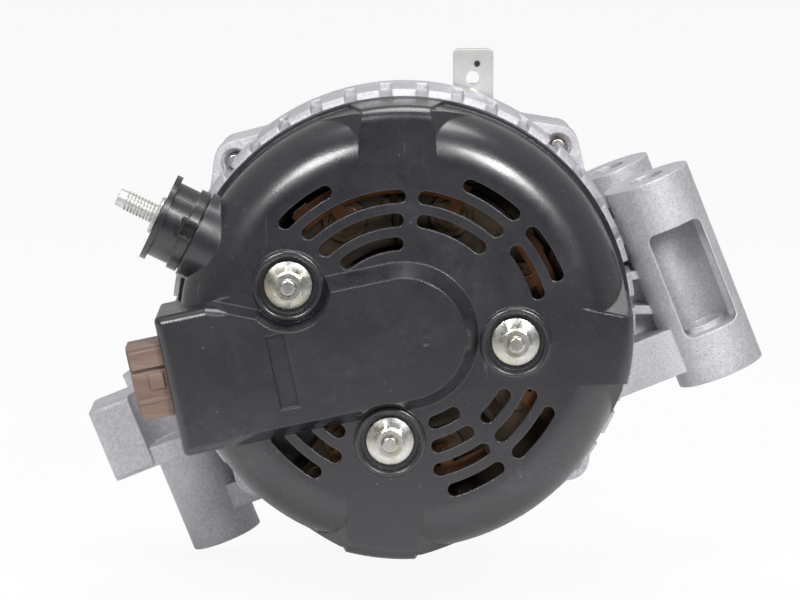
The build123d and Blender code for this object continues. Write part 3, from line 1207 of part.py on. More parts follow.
def regulator_heat_sink():
    """The finned aluminium base under the regulator."""
    x0, x1 = REG_BODY
    base = box((x0 + 1, x1), (REG_FRONT_Y, REG_FRONT_Y + 2.5), (-REG_HALF + 1, REG_HALF - 1))
    fins = []
    count = int((2 * REG_HALF - 4) // REG_FIN_PITCH)
    for n in range(count + 1):
        z = (n - count / 2) * REG_FIN_PITCH
        width = (z - REG_FIN / 2, z + REG_FIN / 2)
        fins.append(box((x0 + 2, x1 - 1), (REG_FRONT_Y + 2, REG_SINK_FRONT_Y), width))
    body = regulator_frame(united([base] + fins))
    return body & rod(REAR_SPIGOT - 1, REG_FRONT_Y - 1, REG_SINK_FRONT_Y + 1)


def brush_places():
    """The Y of each brush, at the middle of its slip ring."""
    return [SLIP_RING_INNER_Y - n * SLIP_RING_PITCH for n in range(2)]


def brush_holder():
    """The resin guide for both brushes, fixed to the regulator."""
    front_y = RING_CARRIER_FRONT_Y - 0.3
    body = box((REG_BODY[1], HOLDER_START), (HOLDER_REAR_Y, front_y), (-HOLDER_HALF, HOLDER_HALF))
    flank = box((REG_BODY[1], REG_BODY[1] + 6), (REG_BACK_Y, REG_FRONT_Y), (-REG_HALF + 2, REG_HALF - 2))
    body = united([body, flank])
    for y in brush_places():
        half_y = BRUSH_WIDTH_Y / 2 + BRUSH_GUIDE
        half_z = BRUSH_HEIGHT_Z / 2 + BRUSH_GUIDE
        body -= box((spring_span()[0], 0), (y - half_y, y + half_y), (-half_z, half_z))
    return regulator_frame(body) - united(well_clearance())


def brush_span():
    return -SLIP_RING_RADIUS - RUN - BRUSH_LENGTH + 0.8, -SLIP_RING_RADIUS - RUN + 0.8


def spring_span():
    rear = brush_span()[0]
    return rear - SPRING_LENGTH, rear


def brush(index):
    """A carbon brush whose tip is hollowed to the slip ring."""
    y = brush_places()[index]
    half_y, half_z = BRUSH_WIDTH_Y / 2, BRUSH_HEIGHT_Z / 2
    body = box(brush_span(), (y - half_y, y + half_y), (-half_z, half_z))
    body -= rod(SLIP_RING_RADIUS + RUN, y - half_y - 1, y + half_y + 1)
    return regulator_frame(body)


def brush_spring(index):
    """The coil spring behind a brush."""
    start, end = spring_span()
    length = end - start - 2 * SPRING_WIRE - 0.2
    helix = Helix(length / SPRING_TURNS, length, SPRING_RADIUS)
    profile = Plane(helix @ 0, z_dir=helix % 0) * Circle(SPRING_WIRE)
    coil = sweep(profile, path=helix, is_frenet=True)
    y = brush_places()[index]
    return regulator_frame(Pos(start + SPRING_WIRE + 0.1, y, 0) * Rot(0, 90, 0) * coil)


def slip_ring_cover():
    """The resin cap round the slip rings, open where the brushes enter."""
    rear = HOLDER_REAR_Y - 0.4
    body = rod(RING_COVER_RADIUS, rear - RING_COVER_CAP, RING_CARRIER_FRONT_Y - 0.2)
    body -= rod(RING_COVER_INNER, rear, RING_CARRIER_FRONT_Y + 1)
    half = HOLDER_HALF + 0.1
    body -= regulator_frame(box((-20, 0), (rear, RING_CARRIER_FRONT_Y + 1), (-half, half)))
    return body


def connector_housing():
    """The plug-in housing with its raised bands and latch block."""
    x0, x1 = CONNECTOR_SPAN
    y, z = CONNECTOR_CENTRE
    depth, height = CONNECTOR_SIZE
    wall = CONNECTOR_WALL
    outer = Box(x1 - x0, depth, height)
    outer = fillet(outer.edges().filter_by(Axis.X), CONNECTOR_EDGE)
    back = -depth / 2
    length = x1 - x0
    parts = [outer]
    for low, high, proud in CONNECTOR_BANDS:
        parts.append(box((-length / 2 + 0.6, length / 2), (back - proud, back + 2), (low, high)))
    latch, collar = CONNECTOR_LATCH, CONNECTOR_COLLAR
    start = -length / 2
    rear = back - latch["proud"]
    latch_x = (start + latch["x"][0], start + latch["x"][1])
    parts.append(box(latch_x, (rear, back + 1), (-latch["half"], latch["half"])))
    proud = CONNECTOR_COLLAR_PROUD
    edges = (back - proud, -back + proud), (-height / 2 - proud, height / 2 + proud)
    parts.append(box((length / 2 - collar, length / 2), *edges))
    body = united(parts)
    low, high, sunk = CONNECTOR_SLOT
    body -= box((start - 1, length / 2 - collar), (back - 2, back + sunk), (low, high))
    corner = Polygon(
        (start - 1, -height / 2 - 1), (start + CONNECTOR_CHAMFER, -height / 2 - 1),
        (start - 1, -height / 2 + CONNECTOR_CHAMFER + 1), align=None,
    )
    body -= slab(corner, depth, -depth)
    hollow = Box(CONNECTOR_DEPTH + 1, depth - 2 * wall, height - 2 * wall)
    hollow = fillet(hollow.edges().filter_by(Axis.X), CONNECTOR_EDGE - wall)
    body -= Pos(start + (CONNECTOR_DEPTH - 1) / 2, 0, 0) * hollow
    body = Pos((x0 + x1) / 2, y, z) * body
    for place in pin_places():
        body -= Pos(*place) * Box(4 * SHROUD_END, PIN_SIZE[0] + 2 * SEAT, PIN_SIZE[1] + 2 * SEAT)
    return regulator_frame(body)


def pin_places():
    y, z = CONNECTOR_CENTRE
    return [(0, y, z + (n - (PINS - 1) / 2) * PIN_PITCH) for n in range(PINS)]


def connector_terminals():
    x0, x1 = CONNECTOR_SPAN
    start = x0 + CONNECTOR_DEPTH - PIN_LENGTH
    pin = Pos((start + x1) / 2, 0, 0) * Box(x1 - start, PIN_SIZE[0], PIN_SIZE[1])
    pin = chamfer(pin.edges().group_by(Axis.X)[0], 0.25)
    return [regulator_frame(Pos(*place) * pin) for place in pin_places()]


# ======================================================================== assembly
def assemble():
    """Every node's name with its solid or list of solids."""
    front, rear = bearing(FRONT_BEARING), bearing(REAR_BEARING)
    coil, bobbin = coil_and_bobbin()
    carrier, rings = slip_rings()
    core, winding = stator()
    retainer, retainer_screws = bearing_retainer()
    bracket, bracket_bolt = harness_bracket()
    pole = claw_pole()
    front_pole = Pos(0, POLE_FRONT_Y, 0) * pole
    rear_pole = Pos(0, POLE_REAR_Y, 0) * turned_to(180 / CLAWS) * Rot(180, 0, 0) * pole
    pulley_back = -PULLEY_WIDTH / 2
    front_race = span_of(FRONT_BEARING)
    sleeve = REAR_BEARING["outer"] + SEAT
    rear_race = span_of(REAR_BEARING)
    nut_back = PULLEY_WEB_FRONT_Y
    nut = hex_prism(PULLEY_NUT_AF, nut_back, nut_back + PULLEY_NUT_HEIGHT)
    nut -= rod(SHAFT_FRONT_RADIUS + SEAT, nut_back - 1, nut_back + PULLEY_NUT_HEIGHT + 1)
    nodes = dict(
        drive_end_frame=drive_end_frame(),
        rear_end_frame=rear_end_frame(),
        stator_core=core,
        stator_winding=winding,
        through_bolts=through_bolts(),
        rear_cover=rear_cover(),
        cover_nuts=cover_nuts(),
        cover_studs=cover_studs(),
        rectifier_spacers=rectifier_spacers(),
        negative_heat_sink=negative_heat_sink(),
        positive_heat_sink=positive_heat_sink(),
        terminal_block=terminal_block(),
        negative_diodes=negative_diodes(),
        positive_diodes=positive_diodes(),
        phase_bus_bars=phase_bus_bars(),
        rectifier_screws=rectifier_screws(),
        b_plus_stud=bplus_stud(),
        b_plus_insulator=bplus_insulator(),
        voltage_regulator=voltage_regulator(),
        regulator_heat_sink=regulator_heat_sink(),
        brush_holder=brush_holder(),
        slip_ring_cover=slip_ring_cover(),
        positive_brush=brush(0),
        negative_brush=brush(1),
        positive_brush_spring=brush_spring(0),
        negative_brush_spring=brush_spring(1),
        connector_housing=connector_housing(),
        connector_terminals=connector_terminals(),
        harness_bracket=bracket,
        harness_bracket_bolt=bracket_bolt,
        rear_mount_bush=rear_mount_bush(),
        bearing_retainer=retainer,
        retainer_screws=retainer_screws,
        front_bearing_outer_race=front["outer_race"],
        front_bearing_seals=front["seals"],
        front_bearing_balls=front["balls"],
        front_bearing_cage=front["cage"],
        front_bearing_inner_race=front["inner_race"],
        rear_bearing_outer_race=rear["outer_race"],
        rear_bearing_seals=rear["seals"],
        rear_bearing_balls=rear["balls"],
        rear_bearing_cage=rear["cage"],
        rear_bearing_inner_race=rear["inner_race"],
        rear_bearing_sleeve=ring(sleeve + SLEEVE_WALL - SEAT, sleeve, *rear_race),
        rotor_shaft=rotor_shaft(),
        front_claw_pole=front_pole,
        rear_claw_pole=rear_pole,
        field_coil=coil,
        coil_bobbin=bobbin,
        front_fan=fan(FAN_BLADES_FRONT, FAN_BLADE_FRONT, POLE_FRONT_Y, 1),
        rear_fan=fan(FAN_BLADES_REAR, FAN_BLADE_REAR, POLE_REAR_Y, -1),
        slip_ring_carrier=carrier,
        inner_slip_ring=rings[0],
        outer_slip_ring=rings[1],
        shaft_spacer=ring(SHAFT_POLE_RADIUS + 2, SHAFT_FRONT_RADIUS + SEAT, POLE_FRONT_Y, front_race[0]),
        pulley_spacer=ring(SHAFT_FRONT_RADIUS + 2.6, SHAFT_FRONT_RADIUS + SEAT, front_race[1], pulley_back),
        pulley=pulley(),
        pulley_nut=nut,
    )
    return nodes


def solids_of(item):
    """All solids in a shape or a list of shapes."""
    pieces = item if isinstance(item, list) else [item]
    return [solid for piece in pieces for solid in piece.solids()]


def main():
    os.makedirs("parts", exist_ok=True)
    for name, item in assemble().items():
        solids = solids_of(item)
        shape = solids[0] if len(solids) == 1 else Compound(children=solids)
        export_step(shape, f"parts/{name}.step")


if __name__ == "__main__":
    main()
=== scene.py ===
import math

import bpy
from bpy.props import FloatProperty, FloatVectorProperty, IntProperty, PointerProperty
from mathutils import Matrix, Vector


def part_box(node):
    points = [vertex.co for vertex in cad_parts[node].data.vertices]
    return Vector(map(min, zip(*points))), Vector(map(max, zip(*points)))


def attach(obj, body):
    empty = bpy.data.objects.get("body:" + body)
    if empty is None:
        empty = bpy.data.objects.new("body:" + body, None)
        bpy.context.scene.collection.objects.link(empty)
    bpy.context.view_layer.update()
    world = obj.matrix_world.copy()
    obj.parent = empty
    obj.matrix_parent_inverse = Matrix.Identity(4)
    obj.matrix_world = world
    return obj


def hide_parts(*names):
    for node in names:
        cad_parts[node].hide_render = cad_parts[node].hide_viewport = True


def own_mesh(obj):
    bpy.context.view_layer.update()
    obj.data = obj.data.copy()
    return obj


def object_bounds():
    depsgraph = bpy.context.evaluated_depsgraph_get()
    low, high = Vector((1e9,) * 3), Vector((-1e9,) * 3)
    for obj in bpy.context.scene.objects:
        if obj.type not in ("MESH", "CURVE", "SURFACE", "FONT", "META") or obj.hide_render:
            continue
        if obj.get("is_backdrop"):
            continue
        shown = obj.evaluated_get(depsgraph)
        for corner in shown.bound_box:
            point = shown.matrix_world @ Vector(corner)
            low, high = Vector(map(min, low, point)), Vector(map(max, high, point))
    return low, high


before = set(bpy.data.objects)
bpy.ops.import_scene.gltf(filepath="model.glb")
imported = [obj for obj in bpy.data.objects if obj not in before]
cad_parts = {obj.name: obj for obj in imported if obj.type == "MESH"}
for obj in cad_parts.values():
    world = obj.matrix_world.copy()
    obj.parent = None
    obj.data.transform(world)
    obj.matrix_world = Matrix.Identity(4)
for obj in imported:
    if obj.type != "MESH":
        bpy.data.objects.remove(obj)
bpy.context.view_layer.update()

bl_info = {
    "name": "Car alternator",
    "version": (1, 0, 0),
    "blender": (4, 5, 0),
    "location": "3D View > Sidebar > Alternator",
    "description": "Finishes and details a car alternator round its packed model",
    "category": "Object",
}

MM = 0.001
MOUNT_TILT = math.radians(21.8)
REGULATOR_TILT = math.radians(12.0)
TERMINAL_TILT = math.radians(-26.0)
TERMINAL_AT = (-0.1106, -0.0017)  # Y of its axis, and Z in its own tilted frame
COVER_FIXINGS = ((0.0358, 156.5), (0.0318, -3.6), (0.0309, -97.4))  # radius, angle
NUT_TURNS = (0.0, 22.0, 12.0)  # each cover nut's turn in degrees
NUT_SEAT_Y = -0.1236
THROUGH_BOLTS = (47.0, 138.5, -131.7, -42.6)
THROUGH_BOLT_CIRCLE = 0.0664
M5, M6 = 0.0025, 0.003  # radii of the bolts and cover studs, and of the output stud
SHAFT_BORE = 0.00852  # radius of the pulley nut's bore
PAINT_SPOT = (0.0217, 0, 0.0719)  # middle of the spot on the harness tab
THREAD_DEPTH = 0.45  # share of the pitch
THREAD_STEPS = 30  # facets in one turn of a thread
COIL_STEPS = 20  # facets in one turn of a spring
LATHE_STEPS = 64
SMOOTH_BELOW = math.radians(21)  # flatter edges than this are shaded smooth
BEVEL_ABOVE = math.radians(40)  # sharper edges than this are rounded
LAMP_ROWS = (  # name, place, size, the stage's power setting and the lamp's share of it
    ("lamp left", (-0.34, -0.92, 0.52), 0.26, "key", 0.85),
    ("lamp right", (0.36, -0.92, 0.50), 0.26, "key", 1.05),
    ("lamp top", (0.05, -0.12, 0.90), 0.50, "top", 1.0),
)


def colour(name, description, default):
    return FloatVectorProperty(
        name=name, description=description, default=default, subtype="COLOR", size=3, min=0.0, max=1.0
    )


def length(name, description, default):
    return FloatProperty(name=name, description=description, default=default, unit="LENGTH", min=0.0)


def factor(name, description, default):
    return FloatProperty(name=name, description=description, default=default, subtype="FACTOR", min=0.0, max=1.0)


# ------------------------------------------------------------------ properties
class AlternatorFinish(bpy.types.PropertyGroup):
    """Colours of the alternator's materials"""

    aluminium: colour("Cast aluminium", "Colour of the end frames", (0.68, 0.67, 0.70))
    aluminium_dark: colour("Cast aluminium, dark", "Colour of the castings' dull patches", (0.50, 0.49, 0.525))
    cover: colour("Cover", "Colour of the rear cover", (0.0150, 0.0142, 0.0188))
    cover_scuff: colour("Cover scuffs", "Colour of the rear cover's scuffs", (0.062, 0.057, 0.070))
    insulator: colour("Insulator", "Colour of the terminal's insulator", (0.011, 0.010, 0.014))
    connector: colour("Connector", "Colour of the plug housing", (0.200, 0.130, 0.102))
    connector_light: colour("Connector, light", "Colour of the plug housing's pale streaks", (0.40, 0.31, 0.26))
    zinc: colour("Zinc", "Colour of the plated fasteners", (0.74, 0.735, 0.72))
    zinc_warm: colour("Zinc, warm", "Colour of the plating's yellow patches", (0.62, 0.58, 0.44))
    steel: colour("Steel", "Colour of the ground steel", (0.62, 0.62, 0.63))
    core: colour("Core", "Colour of the stator's laminations", (0.20, 0.20, 0.215))
    iron: colour("Pole iron", "Colour of the forged poles", (0.16, 0.155, 0.15))
    # painted shade: darkened far below bare copper's own colour, standing in for the shade under the rear cover
    copper: colour("Copper", "Colour of the bare copper", (0.21, 0.10, 0.052))
    enamel: colour("Enamel", "Colour of the enamelled wire", (0.26, 0.105, 0.038))
    resin: colour("Resin", "Colour of the tan moulded resin", (0.085, 0.050, 0.028))
    resin_dark: colour("Dark resin", "Colour of the dark moulded resin", (0.045, 0.038, 0.034))
    pulley: colour("Pulley", "Colour of the pulley's phosphate coat", (0.10, 0.10, 0.105))
    fan: colour("Fan", "Colour of the pressed fans", (0.55, 0.55, 0.56))
    # painted shade: dark brown rather than aluminium grey, standing in for the shade under the rear cover
    heat_sink: colour("Heat sink", "Colour of the heat sinks", (0.125, 0.096, 0.070))
    # painted shade: darkened to stand in for the shade under the rear cover
    diode: colour("Diode", "Colour of the diodes' cases", (0.20, 0.14, 0.092))
    carbon: colour("Carbon", "Colour of the brushes", (0.05, 0.05, 0.055))
    tin: colour("Tin", "Colour of the connector's pins", (0.75, 0.74, 0.71))
    rubber: colour("Rubber", "Colour of the bearings' seals", (0.06, 0.03, 0.022))
    paint: colour("Paint", "Colour of the harness tab's spot", (0.012, 0.012, 0.014))
    rust: colour("Rust", "Colour of the laminations' stains", (0.17, 0.10, 0.05))
    aluminium_scratch: colour("Aluminium scratches", "Colour of bare scratches on the castings", (0.80, 0.79, 0.82))
    aluminium_edge: colour("Aluminium edges", "Colour of the castings' worn edges", (0.78, 0.77, 0.80))
    zinc_edge: colour("Zinc edges", "Colour of the plating's bright edges", (0.92, 0.92, 0.91))
    iron_edge: colour("Iron edges", "Colour of the poles' worn edges", (0.45, 0.44, 0.42))
    steel_edge: colour("Steel edges", "Colour of the ground steel's edges", (0.8, 0.8, 0.8))
    pulley_edge: colour("Pulley edges", "Colour of the pulley's worn edges", (0.5, 0.5, 0.5))


class AlternatorSizes(bpy.types.PropertyGroup):
    """Sizes of the details that Blender adds"""

    edge: length("Cast edge", "Radius that the castings' edges look worn to", 0.0009)
    moulded_edge: length("Moulded edge", "Radius that the mouldings' edges look rounded to", 0.0007)
    stud_pitch: length("Output stud pitch", "Thread pitch of the output stud", 0.001)
    bolt_pitch: length("Bolt pitch", "Thread pitch of the cover studs and through bolts", 0.0008)
    wire: length("Winding wire", "Thickness of one bar of the stator's winding", 0.0018)
    crown: length("Winding crown", "Height of the winding's ends above the core", 0.0105)
    spring_wire: length("Spring wire", "Thickness of the brush springs' wire", 0.0005)
    slots: IntProperty(name="Slots", description="Number of slots in the stator core", default=48, min=12)
    span: IntProperty(name="Slot span", description="Slots between the two legs of one bar", default=6, min=1)


class AlternatorStage(bpy.types.PropertyGroup):
    """Camera, floor and lamps"""

    distance: length("Distance", "Distance from the camera to the cover's face", 1.1)
    elevation: FloatProperty(
        name="Elevation", description="Camera's height above the horizon",
        default=math.radians(8.5), subtype="ANGLE",
    )
    azimuth: FloatProperty(
        name="Azimuth", description="Camera's turn about the upright axis",
        default=0.0, subtype="ANGLE",
    )
    lens: FloatProperty(name="Lens", description="Focal length in millimetres", default=174.9, min=1.0)
    aim: FloatVectorProperty(
        name="Aim", description="Point that the camera looks at",
        default=(-0.00113, -0.126, 0.0103), subtype="XYZ", unit="LENGTH",
    )
    floor_gap: length("Floor gap", "Height of the lowest edge above the floor", 0.002)
    fill: factor("Fill light", "Strength of the light that comes from all round", 0.42)
    key: FloatProperty(name="Key light", description="Power of the two front lamps in watts", default=5.0, min=0.0)
    top: FloatProperty(name="Top light", description="Power of the lamp overhead in watts", default=4.2, min=0.0)


# -------------------------------------------------------------- material maker
class Finish:
    """A node material, built up from one Principled shader."""

    def __init__(self, name, base, metallic=0.0, roughness=0.5, coat=0.0):
        self.material = bpy.data.materials.new(name)
        self.material.use_nodes = True
        self.tree = self.material.node_tree
        self.tree.nodes.clear()
        output = self.tree.nodes.new("ShaderNodeOutputMaterial")
        self.shader = self.tree.nodes.new("ShaderNodeBsdfPrincipled")
        self.tree.links.new(self.shader.outputs["BSDF"], output.inputs["Surface"])
        self.shader.inputs["Base Color"].default_value = (*base, 1.0)
        self.shader.inputs["Metallic"].default_value = metallic
        self.shader.inputs["Roughness"].default_value = roughness
        self.shader.inputs["Coat Weight"].default_value = coat
        self.shader.inputs["Coat Roughness"].default_value = 0.15
        self.place = self.node("ShaderNodeTexCoord").outputs["Object"]
        self.normal = None

    def node(self, kind, **settings):
        """A new node with these settings."""
        made = self.tree.nodes.new(kind)
        for key, value in settings.items():
            setattr(made, key, value)
        return made

    def link(self, source, target):
        self.tree.links.new(source, target)

    def mapped(self, scale, turn=(0, 0, 0)):
        """Object coordinates, stretched and turned."""
        mapping = self.node("ShaderNodeMapping")
        mapping.inputs["Scale"].default_value = scale
        mapping.inputs["Rotation"].default_value = turn
        self.link(self.place, mapping.inputs["Vector"])
        return mapping.outputs["Vector"]

    def noise(self, scale, detail=4.0, roughness=0.6, place=None, distortion=0.0):
        """Soft clouds, from 0 to 1."""
        noise = self.node("ShaderNodeTexNoise")
        noise.inputs["Scale"].default_value = scale
        noise.inputs["Detail"].default_value = detail
        noise.inputs["Roughness"].default_value = roughness
        noise.inputs["Distortion"].default_value = distortion
        self.link(place or self.place, noise.inputs["Vector"])
        return noise.outputs["Fac"]

    def cells(self, scale):
        """Distance to the nearest of many scattered points."""
        cells = self.node("ShaderNodeTexVoronoi", feature="F1")
        cells.inputs["Scale"].default_value = scale
        self.link(self.place, cells.inputs["Vector"])
        return cells.outputs["Distance"]

    def bands(self, scale, distortion):
        """Bands that follow each other along the rotor axis."""
        wave = self.node("ShaderNodeTexWave", wave_type="BANDS", bands_direction="Y")
        wave.inputs["Scale"].default_value = scale
        wave.inputs["Distortion"].default_value = distortion
        self.link(self.place, wave.inputs["Vector"])
        return wave.outputs["Fac"]

    def level(self, value, low, high, to_low=0.0, to_high=1.0):
        """Spreads a value's stretch from low to high over the new limits."""
        spread = self.node("ShaderNodeMapRange")
        spread.inputs["From Min"].default_value = low
        spread.inputs["From Max"].default_value = high
        spread.inputs["To Min"].default_value = to_low
        spread.inputs["To Max"].default_value = to_high
        self.link(value, spread.inputs["Value"])
        return spread.outputs["Result"]

    def math(self, operation, first, second):
        """first is a socket; second is a socket or a number."""
        node = self.node("ShaderNodeMath", operation=operation)
        self.link(first, node.inputs[0])
        if isinstance(second, float):
            node.inputs[1].default_value = second
        else:
            self.link(second, node.inputs[1])
        return node.outputs["Value"]

    def share(self, mask, share):
        """A mask at part of its strength."""
        return self.math("MULTIPLY", mask, share)

    def tint(self, mask, under, over):
        """Mixes two colours by a mask; under and over are colours or sockets."""
        mix = self.node("ShaderNodeMix", data_type="RGBA")
        self.link(mask, mix.inputs["Factor"])
        for name, value in (("A_Color", under), ("B_Color", over)):
            socket = next(each for each in mix.inputs if each.identifier == name)
            if hasattr(value, "links"):
                self.link(value, socket)
            else:
                socket.default_value = (*value, 1.0)
        return next(each for each in mix.outputs if each.identifier == "Result_Color")

    def edges(self, radius):
        """Rounds the look of sharp edges, and returns a mask of where they are."""
        bevel = self.node("ShaderNodeBevel", samples=6)
        bevel.inputs["Radius"].default_value = radius
        flat = self.node("ShaderNodeNewGeometry").outputs["Normal"]
        near = self.node("ShaderNodeVectorMath", operation="DOT_PRODUCT")
        self.link(bevel.outputs["Normal"], near.inputs[0])
        self.link(flat, near.inputs[1])
        self.normal = bevel.outputs["Normal"]
        return self.level(near.outputs["Value"], 0.995, 0.85)

    def bump(self, height, strength, distance):
        """Adds fine relief on top of what is there already."""
        bump = self.node("ShaderNodeBump")
        bump.inputs["Strength"].default_value = strength
        bump.inputs["Distance"].default_value = distance
        self.link(height, bump.inputs["Height"])
        if self.normal is not None:
            self.link(self.normal, bump.inputs["Normal"])
        self.normal = bump.outputs["Normal"]

    def scratches(self, stretch, turn, limits, patch_scale, patch_limits):
        """Fine straight scratches, gathered in patches."""
        streak = self.level(self.noise(1.0, 2.0, 0.5, place=self.mapped(stretch, turn)), *limits)
        return self.math("MULTIPLY", streak, self.level(self.noise(patch_scale, 3.0), *patch_limits))

    def done(self, base, roughness, metallic=None):
        """Links what was built up to the shader."""
        for key, value in (("Base Color", base), ("Roughness", roughness), ("Metallic", metallic)):
            if value is not None:
                self.link(value, self.shader.inputs[key])
        if self.normal is not None:
            self.link(self.normal, self.shader.inputs["Normal"])
        return self.material


def dress(material, *nodes):
    """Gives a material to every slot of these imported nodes."""
    for name in nodes:
        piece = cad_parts[name]
        if not piece.material_slots:
            piece.data.materials.append(material)
        for slot in piece.material_slots:
            slot.material = material


def toned(shade, share):
    """A colour made darker, or lighter where the share is above 1."""
    return tuple(part * share for part in shade)


# ------------------------------------------------------------------- materials
def cast_aluminium(look, sizes):
    """Sand-cast grain with lumps and pits, dull patches, bright scratches and worn edges."""
    made = Finish("cast aluminium", look.aluminium, metallic=0.55, roughness=0.5)
    edge = made.edges(sizes.edge)
    patch = made.level(made.noise(28.0, 5.0, 0.6), 0.35, 0.68)
    grain = made.noise(2100.0, 3.0, 0.7)
    lumps = made.noise(800.0, 3.0, 0.65)
    pits = made.level(made.cells(520.0), 0.0, 0.30)
    scratch = made.scratches((1500, 1500, 110), (0.5, 0.35, 0.1), (0.70, 0.76), 48.0, (0.55, 0.62))
    body = made.tint(patch, look.aluminium_dark, look.aluminium)
    body = made.tint(made.level(lumps, 0.40, 0.66, 0.0, 0.35), body, toned(look.aluminium, 1.3))
    body = made.tint(made.level(grain, 0.52, 0.32, 0.0, 0.60), body, toned(look.aluminium_dark, 0.55))
    body = made.tint(made.share(scratch, 0.8), body, look.aluminium_scratch)
    body = made.tint(made.share(edge, 0.55), body, look.aluminium_edge)
    rough = made.level(grain, 0.3, 0.7, 0.36, 0.60)
    made.bump(lumps, 0.30, 0.0003)
    made.bump(grain, 0.8, 0.00022)
    made.bump(pits, 0.10, 0.0002)
    return made.done(body, rough)


def satin_plastic(name, shade, scuff, edge, roughness=0.28):
    """Moulded plastic with a sheen, rubbed, dusty and finely scratched."""
    made = Finish(name, shade, roughness=roughness, coat=0.35)
    made.shader.inputs["Specular IOR Level"].default_value = 0.85
    rim = made.edges(edge)
    cloud = made.level(made.noise(26.0, 6.0, 0.7, distortion=0.6), 0.50, 0.72)
    rub = made.math("MULTIPLY", cloud, made.level(made.noise(420.0, 4.0, 0.75), 0.38, 0.66))
    scratch = made.scratches((900, 900, 60), (0.3, 0.5, 0.2), (0.66, 0.72), 35.0, (0.52, 0.62))
    dust = made.level(made.noise(1600.0, 2.0, 0.6), 0.60, 0.74)
    specks = made.level(made.cells(260.0), 0.10, 0.05)
    specks = made.math("MULTIPLY", specks, made.level(made.noise(60.0, 3.0), 0.50, 0.60))
    body = made.tint(made.share(rub, 0.55), shade, scuff)
    body = made.tint(made.share(dust, 0.30), body, toned(scuff, 1.3))
    body = made.tint(made.share(specks, 0.55), body, toned(scuff, 3.0))
    body = made.tint(made.share(scratch, 0.45), body, toned(scuff, 2.0))
    body = made.tint(made.share(rim, 0.15), body, scuff)
    rough = made.level(made.noise(60.0, 5.0, 0.7), 0.3, 0.7, roughness - 0.06, roughness + 0.10)
    made.bump(made.noise(1500.0, 3.0, 0.6), 0.20, 0.0001)
    made.bump(made.noise(90.0, 3.0, 0.5), 0.10, 0.0006)
    return made.done(body, rough)


def plated_steel(look):
    """Bright zinc plate with yellow patches and dull flecks."""
    made = Finish("zinc plate", look.zinc, metallic=1.0, roughness=0.28)
    rim = made.edges(0.00025)
    patch = made.level(made.noise(140.0, 4.0, 0.6), 0.42, 0.68)
    body = made.tint(patch, look.zinc, look.zinc_warm)
    body = made.tint(made.level(made.noise(900.0, 3.0), 0.55, 0.75, 0.0, 0.35), body, toned(look.zinc, 0.55))
    body = made.tint(made.share(rim, 0.5), body, look.zinc_edge)
    rough = made.level(made.noise(500.0, 4.0, 0.7), 0.3, 0.7, 0.20, 0.38)
    made.bump(made.noise(1300.0, 2.0), 0.10, 0.0001)
    return made.done(body, rough)


def rolled_thread(look):
    """Bright plating on a rolled thread, a little duller so that its ridges read."""
    made = Finish("thread plate", look.zinc, metallic=0.7, roughness=0.46)
    grain = made.level(made.noise(900.0, 3.0), 0.45, 0.75)
    body = made.tint(grain, look.zinc, toned(look.zinc, 0.75))
    made.bump(made.noise(1500.0, 2.0), 0.06, 0.0001)
    return made.done(body, made.level(grain, 0.0, 1.0, 0.36, 0.5))


def painted_tab(look):
    """Zinc plate with one dark spot of paint."""
    made = Finish("painted zinc plate", look.zinc, metallic=0.5, roughness=0.34)
    made.edges(0.0004)
    patch = made.level(made.noise(140.0, 4.0, 0.6), 0.42, 0.68)
    spot = made.node("ShaderNodeVectorMath", operation="DISTANCE")
    made.link(made.mapped((1, 0, 1)), spot.inputs[0])
    spot.inputs[1].default_value = PAINT_SPOT
    ragged = made.math("ADD", spot.outputs["Value"], made.share(made.noise(900.0), 0.0005))
    paint = made.level(ragged, 0.00135, 0.00105)
    body = made.tint(patch, look.zinc, toned(look.zinc, 0.86))
    body = made.tint(paint, body, look.paint)
    made.bump(made.noise(1300.0, 2.0), 0.10, 0.0001)
    return made.done(body, made.level(paint, 0.0, 1.0, 0.34, 0.5), made.level(paint, 0.0, 1.0, 0.45, 0.0))


def plain_metal(name, shade, roughness, scale=300.0, metallic=1.0):
    """Metal with a soft grain and a little unevenness in its sheen."""
    made = Finish(name, shade, metallic=metallic, roughness=roughness)
    made.edges(0.0003)
    grain = made.noise(scale, 5.0, 0.65)
    body = made.tint(made.level(grain, 0.35, 0.7), toned(shade, 0.72), toned(shade, 1.12))
    rough = made.level(made.noise(scale * 0.4, 4.0), 0.3, 0.7, roughness - 0.06, roughness + 0.12)
    made.bump(made.noise(scale * 4, 3.0, 0.6), 0.1, 0.0001)
    return made.done(body, rough)


def turned_metal(name, shade, roughness, bright):
    """Metal with fine rings from the lathe about the rotor axis."""
    made = Finish(name, shade, metallic=1.0, roughness=roughness)
    rim = made.edges(0.0004)
    rings = made.bands(2600.0, distortion=1.5)
    patch = made.level(made.noise(60.0, 5.0, 0.65), 0.4, 0.7)
    body = made.tint(patch, shade, toned(shade, 0.6))
    body = made.tint(made.share(rim, 0.7), body, bright)
    rough = made.level(made.noise(220.0, 4.0), 0.3, 0.7, roughness - 0.08, roughness + 0.12)
    made.bump(rings, 0.10, 0.0001)
    return made.done(body, rough)


def laminations(look):
    """Stacked steel sheets, with a few rusty stains."""
    made = Finish("core laminations", look.core, metallic=0.7, roughness=0.5)
    sheets = made.bands(320.0, distortion=0.4)
    stain = made.level(made.noise(45.0, 5.0, 0.7), 0.45, 0.72)
    body = made.tint(made.level(sheets, 0.1, 0.9, 0.0, 0.6), toned(look.core, 0.5), toned(look.core, 1.6))
    body = made.tint(made.share(stain, 0.5), body, look.rust)
    made.bump(sheets, 0.5, 0.0002)
    return made.done(body, made.level(stain, 0.0, 1.0, 0.42, 0.62))


